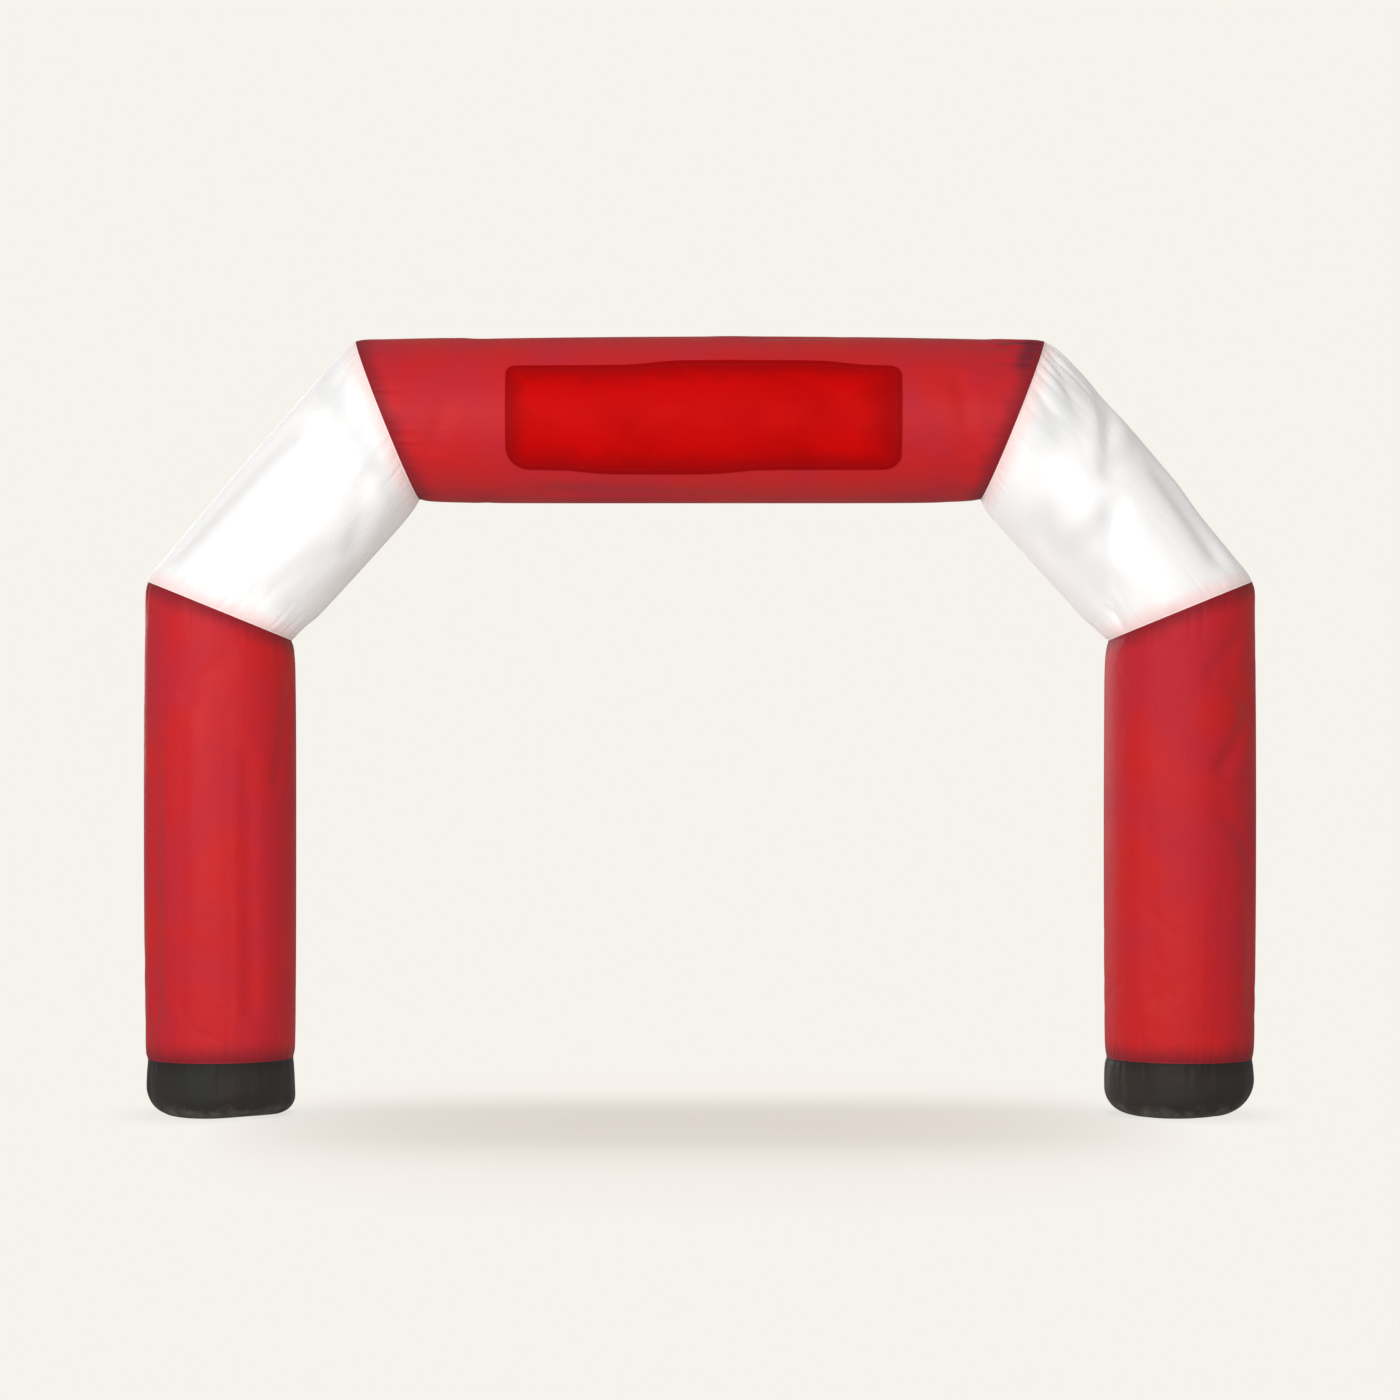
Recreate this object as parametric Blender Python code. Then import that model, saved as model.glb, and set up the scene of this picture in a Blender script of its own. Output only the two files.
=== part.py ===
"""Inflatable arch: two red legs on black bases, two white shoulders, a red beam and a banner panel.

Metres, +Z up. The arch spans X, its front looks along -Y, and the origin is on the ground midway
between the legs. Every tube runs between two sewn rings that it shares with its neighbours, and is
filled tight between them: it is drawn in at a seam, gathered there unevenly, and round elsewhere.
"""

import math
import random
from collections import namedtuple

import bmesh
import bpy
from mathutils import Vector

# Driving dimensions.
SPAN = 6.000
HEIGHT = 4.190
LEG_DIAMETER = 0.810
BEAM_DIAMETER = 0.890
BASE_HEIGHT = 0.300
LEG_SEAM_OUTER_Z = 2.880
LEG_SEAM_INNER_Z = 2.550
BEAM_SEAM_TOP_X = 1.863
BEAM_SEAM_BOTTOM_X = 1.512

# How far the cloth is drawn in at a seam, and how soon it stands up to its full size again.
DRAW_IN_BASE = 0.016
DRAW_IN_OUTER = 0.016
DRAW_IN_INNER = 0.028
RISE = 0.024

# Gathers round a seam. They lie closer and reach further on the inner side of a bend.
GATHERS = 15
GATHER_CROWDING = 0.40
GATHER_SCATTER = 0.30
GATHER_SPREAD = math.radians(7.0)
GATHER_SHORTEST = 0.03
GATHER_LONGEST = 0.26
FOLD_FADE = 0.35

# The banner panel: its ends along the beam, and its edges as angles from the front.
PANEL_LEFT_X = -1.057
PANEL_RIGHT_X = 1.127
PANEL_LOW_ANGLE = math.radians(-41.8)
PANEL_HIGH_ANGLE = math.radians(35.4)
PANEL_THICKNESS = 0.002

# Clearances between neighbours, and how finely the surfaces are divided.
GAP = 0.00034
PANEL_GAP = 0.0004
SIDES = 56
EDGE_STEPS = 5
SEAM_STEPS = (0.0, 0.018, 0.045, 0.085, 0.140, 0.220, 0.330)
WALL_STEPS = SEAM_STEPS[:4]
PLAIN_STEP = 0.170
PANEL_COLUMNS = 12
SHARP_ANGLE = math.radians(50)

LEG_RADIUS = LEG_DIAMETER / 2
BEAM_RADIUS = BEAM_DIAMETER / 2
FRONT = Vector((0, -1, 0))
ANGLES = [math.tau * (number + 0.5) / SIDES - math.pi for number in range(SIDES)]

# A sewn ring: its corners (x, z) on the outer and the inner side of the arch, its half depth along
# Y, and how far the cloth is drawn in at those two corners.
Ring = namedtuple("Ring", "outer inner half_depth draw_outer draw_inner")

# A gather is a valley that runs from a seam into the cloth.
Gather = namedtuple("Gather", "angle reach")

# The radius of a base's lower edge at an angle in degrees.
Edge = namedtuple("Edge", "angle radius")

# A fold is a soft trough from one place to another, or a ridge where its depth is negative. Angles
# are in degrees from the front, positive towards the outside of the arch, and distances run along
# the axis, up from the lower seam's middle, or from the left seam's middle on the beam.
Fold = namedtuple("Fold", "from_angle from_along to_angle to_along width depth")

EDGES = {
    "base_left": (Edge(-180, 0.12), Edge(-90, 0.10), Edge(-40, 0.17), Edge(10, 0.11), Edge(90, 0.17)),
    "base_right": (Edge(-180, 0.13), Edge(-90, 0.14), Edge(-25, 0.10), Edge(40, 0.18), Edge(90, 0.21)),
}

FOLDS = {
    "leg_left": (
        Fold(from_angle=49, from_along=0.25, to_angle=47, to_along=1.65, width=0.058, depth=0.019),
        Fold(from_angle=-33, from_along=0.28, to_angle=-30, to_along=1.60, width=0.060, depth=0.018),
        Fold(from_angle=2, from_along=0.70, to_angle=5, to_along=1.70, width=0.080, depth=-0.008),
        Fold(from_angle=16, from_along=1.95, to_angle=-14, to_along=2.14, width=0.055, depth=0.012),
        Fold(from_angle=-58, from_along=1.50, to_angle=-74, to_along=2.00, width=0.055, depth=0.014),
        Fold(from_angle=150, from_along=0.40, to_angle=158, to_along=1.70, width=0.065, depth=0.013),
        Fold(from_angle=-152, from_along=0.60, to_angle=-140, to_along=1.90, width=0.065, depth=0.012),
    ),
    "leg_right": (
        Fold(from_angle=54, from_along=1.10, to_angle=22, to_along=1.34, width=0.055, depth=0.020),
        Fold(from_angle=24, from_along=1.56, to_angle=48, to_along=1.80, width=0.052, depth=0.022),
        Fold(from_angle=60, from_along=1.86, to_angle=30, to_along=2.02, width=0.052, depth=0.021),
        Fold(from_angle=16, from_along=2.06, to_angle=40, to_along=2.26, width=0.050, depth=0.013),
        Fold(from_angle=60, from_along=0.30, to_angle=57, to_along=0.95, width=0.062, depth=0.012),
        Fold(from_angle=-28, from_along=0.35, to_angle=-34, to_along=1.25, width=0.065, depth=0.010),
        Fold(from_angle=-155, from_along=0.35, to_angle=-160, to_along=1.50, width=0.065, depth=0.012),
        Fold(from_angle=146, from_along=0.90, to_angle=132, to_along=2.00, width=0.060, depth=0.013),
    ),
    "shoulder_left": (
        Fold(from_angle=68, from_along=0.10, to_angle=56, to_along=1.05, width=0.060, depth=0.024),
        Fold(from_angle=-22, from_along=0.12, to_angle=-42, to_along=0.60, width=0.060, depth=0.024),
        Fold(from_angle=-24, from_along=1.06, to_angle=-58, to_along=0.72, width=0.058, depth=0.018),
        Fold(from_angle=48, from_along=1.44, to_angle=24, to_along=1.16, width=0.052, depth=0.016),
        Fold(from_angle=-112, from_along=0.20, to_angle=-68, to_along=0.20, width=0.075, depth=0.024),
        Fold(from_angle=140, from_along=0.20, to_angle=128, to_along=1.05, width=0.062, depth=0.018),
        Fold(from_angle=-150, from_along=0.15, to_angle=-128, to_along=0.75, width=0.062, depth=0.017),
    ),
    "shoulder_right": (
        Fold(from_angle=74, from_along=1.12, to_angle=20, to_along=0.83, width=0.058, depth=0.042),
        Fold(from_angle=-58, from_along=0.20, to_angle=6, to_along=0.66, width=0.058, depth=0.040),
        Fold(from_angle=64, from_along=0.06, to_angle=74, to_along=0.66, width=0.058, depth=0.023),
        Fold(from_angle=-26, from_along=1.02, to_angle=-60, to_along=0.70, width=0.056, depth=0.016),
        Fold(from_angle=104, from_along=1.46, to_angle=66, to_along=1.44, width=0.070, depth=-0.036),
        Fold(from_angle=58, from_along=1.52, to_angle=38, to_along=1.22, width=0.048, depth=0.026),
        Fold(from_angle=24, from_along=1.42, to_angle=10, to_along=1.16, width=0.045, depth=0.020),
        Fold(from_angle=-112, from_along=0.20, to_angle=-68, to_along=0.20, width=0.075, depth=0.024),
        Fold(from_angle=132, from_along=1.15, to_angle=150, to_along=0.45, width=0.062, depth=0.019),
        Fold(from_angle=-140, from_along=0.15, to_angle=-160, to_along=0.70, width=0.062, depth=0.015),
    ),
    "beam": (
        Fold(from_angle=-24, from_along=0.28, to_angle=26, to_along=0.40, width=0.052, depth=0.014),
        Fold(from_angle=20, from_along=3.06, to_angle=-28, to_along=3.12, width=0.052, depth=0.016),
        Fold(from_angle=80, from_along=0.50, to_angle=75, to_along=1.70, width=0.055, depth=0.013),
        Fold(from_angle=72, from_along=2.00, to_angle=78, to_along=3.20, width=0.055, depth=0.013),
        Fold(from_angle=-66, from_along=0.90, to_angle=-72, to_along=1.80, width=0.058, depth=0.012),
        Fold(from_angle=150, from_along=0.60, to_angle=140, to_along=2.00, width=0.065, depth=0.014),
        Fold(from_angle=-146, from_along=1.50, to_angle=-156, to_along=2.90, width=0.065, depth=0.013),
    ),
}

Cloth = namedtuple("Cloth", "name color roughness")
RED_CLOTH = Cloth("red_cloth", (0.545, 0.017, 0.022, 1), 0.50)
WHITE_CLOTH = Cloth("white_cloth", (0.870, 0.870, 0.880, 1), 0.45)
BLACK_CLOTH = Cloth("black_cloth", (0.034, 0.024, 0.024, 1), 0.60)
PANEL_CLOTH = Cloth("panel_cloth", (0.680, 0.004, 0.006, 1), 0.45)


def material(cloth):
    """The cloth's material, made once."""
    made = bpy.data.materials.get(cloth.name)
    if made is None:
        made = bpy.data.materials.new(cloth.name)
        made.use_nodes = True
        shader = made.node_tree.nodes["Principled BSDF"]
        shader.inputs["Base Color"].default_value = cloth.color
        shader.inputs["Roughness"].default_value = cloth.roughness
        shader.inputs["Metallic"].default_value = 0.0
    return made


def add_object(name, shape, cloth):
    """The bmesh as an object of its own, in its cloth."""
    mesh = bpy.data.meshes.new(name)
    shape.to_mesh(mesh)
    shape.free()
    mesh.materials.append(material(cloth))
    mesh.shade_smooth()
    mesh.set_sharp_from_angle(angle=SHARP_ANGLE)
    made = bpy.data.objects.new(name, mesh)
    bpy.context.scene.collection.objects.link(made)
    return made


def turn_between(start, angle):
    """The turn from one angle to another, the short way round."""
    return (angle - start + math.pi) % math.tau - math.pi


def gathers(seed, ring):
    """Gathers set unevenly round a seam, longer where the ring is drawn in more."""
    draws = random.Random(seed)
    most = max(ring.draw_outer, ring.draw_inner)
    made = []
    for number in range(GATHERS):
        step = number + draws.uniform(-GATHER_SCATTER, GATHER_SCATTER)
        even = math.tau * step / GATHERS - math.pi
        angle = even - GATHER_CROWDING * math.cos(even) * (ring.draw_inner - ring.draw_outer) / most
        share = draws.uniform(0.3, 1.0) * draw_in(ring, angle) / DRAW_IN_INNER
        made.append(Gather(angle, GATHER_SHORTEST + (GATHER_LONGEST - GATHER_SHORTEST) * share))
    return made


def rise_length(angle, seam_gathers):
    """How far from the seam the cloth reaches its full size: further in a gather."""
    pull = 0.0
    for gather in seam_gathers:
        away = turn_between(gather.angle, angle) / GATHER_SPREAD
        pull += gather.reach * math.exp(-(away**2))
    return RISE + pull


def draw_in(ring, angle):
    """How far a ring is drawn in at an angle."""
    outside = (1 + math.sin(angle)) / 2
    return ring.draw_inner + (ring.draw_outer - ring.draw_inner) * outside


def corners_of(ring):
    return [Vector((corner[0], 0, corner[1])) for corner in (ring.outer, ring.inner)]


def middle_of(ring):
    outer, inner = corners_of(ring)
    return (outer + inner) / 2


def ring_point(ring, angle):
    """A point of a sewn ring. An angle of 0 is the front, and 90 degrees is the outer side."""
    outer, inner = corners_of(ring)
    half = (outer - inner) / 2
    inset = draw_in(ring, angle)
    across = half.normalized() * (half.length - inset)
    deep = FRONT * (ring.half_depth - inset)
    return middle_of(ring) + across * math.sin(angle) + deep * math.cos(angle)


def fold_offset(angle, along, folds, radius):
    """How far the folds stand out at a place on a tube. Each one fades towards its far end."""
    total = 0.0
    for fold in folds:
        start = math.radians(fold.from_angle)
        place = Vector((radius * turn_between(start, angle), along - fold.from_along))
        sweep = radius * math.radians(fold.to_angle - fold.from_angle)
        line = Vector((sweep, fold.to_along - fold.from_along))
        share = min(1.0, max(0.0, place.dot(line) / line.length_squared))
        distance = (place - line * share).length
        fade = 1 - FOLD_FADE * share
        total -= fold.depth * fade * math.exp(-((distance / fold.width) ** 2))
    return total


class Tube:
    """A tube of cloth, blown up tight between two sewn rings.

    A point of its surface is read by an angle round it and a place along its axis.
    """

    def __init__(self, name, lower, upper, seed):
        self.name = name
        self.lower = lower
        self.upper = upper
        self.start = middle_of(lower)
        self.axis = (middle_of(upper) - self.start).normalized()
        outer = corners_of(lower)[0] - self.start
        self.outward = (outer - self.axis * outer.dot(self.axis)).normalized()
        self.radius = (lower.half_depth + upper.half_depth) / 2
        self.lower_gathers = gathers(seed, lower)
        self.upper_gathers = gathers(seed + 1, upper)

    def away(self, angle):
        """The direction straight out of the tube."""
        return FRONT * math.cos(angle) + self.outward * math.sin(angle)

    def ends(self, angle):
        """Where the two rings are along the axis."""
        low = (ring_point(self.lower, angle) - self.start).dot(self.axis)
        high = (ring_point(self.upper, angle) - self.start).dot(self.axis)
        return low, high

    def point(self, angle, along):
        low, high = self.ends(angle)
        share = (along - low) / (high - low)
        from_low = 1 - math.exp((low - along) / rise_length(angle, self.lower_gathers))
        from_high = 1 - math.exp((along - high) / rise_length(angle, self.upper_gathers))
        drawn = draw_in(self.lower, angle) * (1 - share) + draw_in(self.upper, angle) * share
        fold = fold_offset(angle, along, FOLDS[self.name], self.radius)
        line = ring_point(self.lower, angle).lerp(ring_point(self.upper, angle), share)
        gap = self.axis * GAP * (0.5 - share)
        return line + gap + self.away(angle) * (drawn + fold) * from_low * from_high

    def plain_places(self, low, high):
        """The places of the rings between the last ones that follow the seams."""
        run = high - low - 2 * SEAM_STEPS[-1]
        lower, upper = corners_of(self.lower), corners_of(self.upper)
        longest = max((far - near).length for near, far in zip(lower, upper)) - 2 * SEAM_STEPS[-1]
        count = round(longest / PLAIN_STEP)
        return [low + SEAM_STEPS[-1] + run * number / count for number in range(1, count)]

    def rings(self):
        """The rings of points, close together by the seams."""
        lines = []
        for angle in ANGLES:
            low, high = self.ends(angle)
            places = [low + step for step in SEAM_STEPS]
            places += self.plain_places(low, high)
            places += [high - step for step in reversed(SEAM_STEPS)]
            lines.append([self.point(angle, place) for place in places])
        return list(zip(*lines))


class Beam(Tube):
    """The level tube. Its plain rings stand upright, at the columns of the banner panel."""

    def plain_places(self, low, high):
        first, last = PANEL_LEFT_X - self.start.x, PANEL_RIGHT_X - self.start.x
        width = (last - first) / PANEL_COLUMNS
        return [first + width * number for number in range(PANEL_COLUMNS + 1)]


class Base:
    """The black foot of a leg: a flat sole, a rounded lower edge and a short wall."""

    def __init__(self, name, seam, seed):
        self.name = name
        self.seam = seam
        self.edges = EDGES[name]
        self.gathers = gathers(seed, seam)

    def edge_radius(self, angle):
        """The radius of the lower edge, passing softly from one row of the table to the next."""
        degrees = math.degrees(angle)
        rows = [*self.edges, Edge(self.edges[0].angle + 360, self.edges[0].radius)]
        before, after = next(pair for pair in zip(rows, rows[1:]) if degrees <= pair[1].angle)
        share = (degrees - before.angle) / (after.angle - before.angle)
        soft = (1 - math.cos(math.pi * share)) / 2
        return before.radius + (after.radius - before.radius) * soft

    def point(self, angle, inset, height):
        """A point of the foot, inset from the leg's full outline."""
        seam = ring_point(self.seam, angle)
        below = self.seam.outer[1] - height
        rise = 1 - math.exp(-below / rise_length(angle, self.gathers))
        away = (seam - middle_of(self.seam)).normalized()
        place = seam + away * (draw_in(self.seam, angle) * rise - inset)
        return Vector((place.x, place.y, height))

    def line(self, angle):
        """The points at one angle, from the sole round the lower edge and up to the seam."""
        radius = self.edge_radius(angle)
        turns = [math.pi / 2 * step / EDGE_STEPS for step in range(EDGE_STEPS + 1)]
        made = [self.point(angle, radius * (1 - math.sin(t)), radius * (1 - math.cos(t))) for t in turns]
        top = self.seam.outer[1] - GAP / 2
        made += [self.point(angle, 0, top - step) for step in reversed(WALL_STEPS)]
        return made

    def rings(self):
        return list(zip(*(self.line(angle) for angle in ANGLES)))


def solid_of(piece, cloth):
    """One closed body: the first ring is a face, which is extruded from ring to ring."""
    rings = piece.rings()
    shape = bmesh.new()
    first = [shape.verts.new(place) for place in rings[0]]
    cap = shape.faces.new(first)
    for ring in rings[1:]:
        cap = bmesh.ops.extrude_discrete_faces(shape, faces=[cap])["faces"][0]
        for vert, place in zip(cap.verts, ring):
            vert.co = place
    shape.faces.new(first)
    bmesh.ops.recalc_face_normals(shape, faces=shape.faces)
    split_squares(shape)
    return add_object(piece.name, shape, cloth)


def split_squares(shape):
    """Splits each square from its lower left to its upper right, as two layers that lie close need."""
    for face in list(shape.faces):
        if len(face.verts) != 4:
            continue
        low = min(face.verts, key=lambda vert: vert.co.x + vert.co.z)
        high = max(face.verts, key=lambda vert: vert.co.x + vert.co.z)
        if not any(edge.other_vert(low) is high for edge in low.link_edges):
            bmesh.utils.face_split(face, low, high)


def banner_panel(beam):
    """The blank sheet on the beam's front, which follows the beam's own points a gap away."""
    places = beam.plain_places(*beam.ends(0))
    slack = math.radians(1)
    angles = [a for a in ANGLES if PANEL_LOW_ANGLE - slack < a < PANEL_HIGH_ANGLE + slack]
    columns, rows = len(places) - 1, len(angles) - 1
    shape = bmesh.new()
    grid = bmesh.ops.create_grid(shape, x_segments=columns, y_segments=rows, size=1)["verts"]
    for vert in grid:
        column = round((vert.co.x + 1) / 2 * columns)
        angle = angles[round((vert.co.y + 1) / 2 * rows)]
        vert.co = beam.point(angle, places[column]) + beam.away(angle) * PANEL_GAP
    shape.normal_update()
    if sum(face.normal.dot(FRONT) for face in shape.faces) > 0:
        bmesh.ops.reverse_faces(shape, faces=shape.faces)
    split_squares(shape)
    bmesh.ops.solidify(shape, geom=shape.faces, thickness=PANEL_THICKNESS)
    return add_object("banner_panel", shape, PANEL_CLOTH)


def side_rings(side):
    """The sewn rings of one side of the arch, from the ground up. The side is -1 or 1."""
    out_x, in_x = side * SPAN / 2, side * (SPAN / 2 - LEG_DIAMETER)
    base_seam = Ring(
        outer=(out_x, BASE_HEIGHT),
        inner=(in_x, BASE_HEIGHT),
        half_depth=LEG_RADIUS,
        draw_outer=DRAW_IN_BASE,
        draw_inner=DRAW_IN_BASE,
    )
    leg_seam = Ring(
        outer=(out_x, LEG_SEAM_OUTER_Z),
        inner=(in_x, LEG_SEAM_INNER_Z),
        half_depth=LEG_RADIUS,
        draw_outer=DRAW_IN_OUTER,
        draw_inner=DRAW_IN_INNER,
    )
    beam_seam = Ring(
        outer=(side * BEAM_SEAM_TOP_X, HEIGHT),
        inner=(side * BEAM_SEAM_BOTTOM_X, HEIGHT - BEAM_DIAMETER),
        half_depth=BEAM_RADIUS,
        draw_outer=DRAW_IN_OUTER,
        draw_inner=DRAW_IN_INNER,
    )
    return base_seam, leg_seam, beam_seam


def build():
    for old in list(bpy.data.objects):
        bpy.data.objects.remove(old)
    beam_seams = []
    for seed, (side, sign) in enumerate((("left", -1), ("right", 1)), start=1):
        base_seam, leg_seam, beam_seam = side_rings(sign)
        solid_of(Base("base_" + side, base_seam, 100 * seed), BLACK_CLOTH)
        solid_of(Tube("leg_" + side, base_seam, leg_seam, 100 * seed + 10), RED_CLOTH)
        solid_of(Tube("shoulder_" + side, leg_seam, beam_seam, 100 * seed + 20), WHITE_CLOTH)
        beam_seams.append(beam_seam)
    beam = Beam("beam", *beam_seams, seed=300)
    solid_of(beam, RED_CLOTH)
    banner_panel(beam)


build()
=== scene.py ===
"""Looks of an inflatable arch: its blown-up cloth tubes and feet, their sewing and the banner sheet.

Metres, +Z up. The arch spans X, its front looks along -Y, and the origin is on the ground midway
between the legs. A place on a tube is read by an angle round it and a distance along its axis. An
angle of 0 is the front, 90 degrees is the outer side of the arch and 180 degrees is the back.
"""

import logging
import math
import random
from collections.abc import Iterator
from contextlib import contextmanager
from dataclasses import dataclass, field
from enum import Enum, IntEnum

import bpy
import numpy as np
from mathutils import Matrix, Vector
from mathutils.bvhtree import BVHTree


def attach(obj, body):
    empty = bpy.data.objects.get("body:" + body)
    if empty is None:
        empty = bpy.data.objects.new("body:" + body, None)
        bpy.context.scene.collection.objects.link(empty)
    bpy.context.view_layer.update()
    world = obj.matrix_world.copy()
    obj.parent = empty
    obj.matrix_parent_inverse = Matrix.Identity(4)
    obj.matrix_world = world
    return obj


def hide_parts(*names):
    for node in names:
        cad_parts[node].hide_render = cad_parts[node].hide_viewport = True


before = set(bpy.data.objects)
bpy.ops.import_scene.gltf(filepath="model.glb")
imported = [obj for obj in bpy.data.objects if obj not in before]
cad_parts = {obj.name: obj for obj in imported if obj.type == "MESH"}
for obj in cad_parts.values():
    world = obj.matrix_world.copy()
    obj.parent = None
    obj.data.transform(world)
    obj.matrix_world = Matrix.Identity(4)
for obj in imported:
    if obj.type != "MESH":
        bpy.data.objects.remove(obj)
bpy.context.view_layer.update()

log = logging.getLogger("arch")

# Driving dimensions of the arch, as its solids have them.
SPAN = 6.000
HEIGHT = 4.190
LEG_DIAMETER = 0.810
BEAM_DIAMETER = 0.890
BASE_HEIGHT = 0.300
LEG_SEAM_OUTER_Z = 2.880
LEG_SEAM_INNER_Z = 2.550
BEAM_SEAM_TOP_X = 1.863
BEAM_SEAM_BOTTOM_X = 1.512
DRAW_IN_BASE = 0.016
DRAW_IN_OUTER = 0.016
DRAW_IN_INNER = 0.028

# Half of the space left between two pieces at a seam.
SEAM_CLEARANCE = 0.0002

# How much of its depth a crease loses on its way, and where along its reach a pucker is deepest.
CREASE_FADE = 0.35
PUCKER_PEAK = 0.28

# What is nearer than this to a seam or an edge counts as being on it.
ON_EDGE = 1e-4

# The least that a length is divided by.
TINY = 1e-9

# How far outside a cloth the search for it starts.
OUTSIDE = 0.1

# Edges that turn by more than this stay sharp in the shading.
SHARP_ANGLE = math.radians(50)

BODY = "root"
FRONT = np.array((0.0, -1.0, 0.0))
CLOTH_MAP = "ClothMap"
SEAM_DISTANCE = "seam_distance"
PAINTED_STROKE_SHADE = "painted_stroke_shade"


# ---------------------------------------------------------------------------------------------
# Working in Blender
# ---------------------------------------------------------------------------------------------


class Pick(Enum):
    """What edit mode selects: edges or faces."""

    EDGES = (False, True, False)
    FACES = (False, False, True)


def activate(piece: bpy.types.Object) -> None:
    """Makes the piece the only selected object, and the active one.

    Args:
        piece: The object to work on.
    """
    bpy.ops.object.select_all(action="DESELECT")
    piece.select_set(True)
    bpy.context.view_layer.objects.active = piece


@contextmanager
def editing(piece: bpy.types.Object, pick: Pick) -> Iterator[None]:
    """Edit mode on one piece, which is left again at the end.

    Args:
        piece: The mesh object to edit. What is selected in it stays selected.
        pick: What is selected: edges or faces.
    """
    activate(piece)
    bpy.context.tool_settings.mesh_select_mode = pick.value
    bpy.ops.object.mode_set(mode="EDIT")
    try:
        yield
    finally:
        bpy.ops.object.mode_set(mode="OBJECT")


def clear_selection(mesh: bpy.types.Mesh) -> None:
    """Deselects each corner, edge and face of the mesh."""
    for parts in (mesh.vertices, mesh.edges, mesh.polygons):
        parts.foreach_set("select", np.zeros(len(parts), dtype=bool))


def corners_of(mesh: bpy.types.Mesh) -> np.ndarray:
    """The mesh's corners as rows of x, y and z.

    Args:
        mesh: The mesh to read.

    Returns:
        One row for each corner.
    """
    flat = np.empty(len(mesh.vertices) * 3)
    mesh.vertices.foreach_get("co", flat)
    return flat.reshape(-1, 3)


def place_corners(mesh: bpy.types.Mesh, places: np.ndarray) -> None:
    """Moves the mesh's corners to these places."""
    mesh.vertices.foreach_set("co", places.astype(np.float32).ravel())
    mesh.update()


def apply_modifier(piece: bpy.types.Object, kind: str, **settings: object) -> None:
    """Adds a modifier with these settings and applies it.

    Args:
        piece: The object that is changed.
        kind: Blender's name of the modifier.
        settings: The modifier's own settings by name.
    """
    modifier = piece.modifiers.new(kind.lower(), kind)
    for name, value in settings.items():
        setattr(modifier, name, value)
    activate(piece)
    bpy.ops.object.modifier_apply(modifier=modifier.name)


def cut_rows(piece: bpy.types.Object, axis: int, cuts: int) -> None:
    """Cuts a cylinder that is 1 long into rows, across its length.

    Args:
        piece: The cylinder.
        axis: The axis that it lies along: 0, 1 or 2.
        cuts: How many cuts it gets.
    """
    along = corners_of(piece.data)[:, axis]
    clear_selection(piece.data)
    for edge in piece.data.edges:
        first, second = edge.vertices
        edge.select = bool(abs(along[first] - along[second]) > 0.5)
    with editing(piece, Pick.EDGES):
        bpy.ops.mesh.subdivide(number_cuts=cuts)


def turn_between(start: np.ndarray | float, angle: np.ndarray | float) -> np.ndarray | float:
    """The turn from one angle to another, the short way round."""
    return (angle - start + math.pi) % math.tau - math.pi


def store(mesh: bpy.types.Mesh, name: str, values: np.ndarray) -> None:
    """Keeps one number for each corner of the mesh, for its material to read."""
    attribute = mesh.attributes.new(name, "FLOAT", "POINT")
    attribute.data.foreach_set("value", values.astype(np.float32))


def lay_map(mesh: bpy.types.Mesh, across: np.ndarray, along: np.ndarray, girth: float) -> None:
    """Lays the cloth's own map on the mesh, in metres across and along the cloth.

    Args:
        mesh: The mesh to map.
        across: How far round the tube each corner is, in metres.
        along: How far along the tube each corner is, in metres.
        girth: The way once round, which joins the two sides of the map. 0 is an open sheet.
    """
    layer = mesh.uv_layers.new(name=CLOTH_MAP)
    loops = np.empty(len(mesh.loops), dtype=np.int64)
    mesh.loops.foreach_get("vertex_index", loops)
    sizes = np.empty(len(mesh.polygons), dtype=np.int64)
    mesh.polygons.foreach_get("loop_total", sizes)
    starts = np.concatenate(([0], np.cumsum(sizes)[:-1]))
    u, v = across[loops], along[loops]
    if girth:
        first = np.repeat(u[starts], sizes)
        u = u - girth * np.round((u - first) / girth)
    layer.data.foreach_set("uv", np.stack((u, v), axis=1).astype(np.float32).ravel())


# ---------------------------------------------------------------------------------------------
# Finishes
# ---------------------------------------------------------------------------------------------


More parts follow.
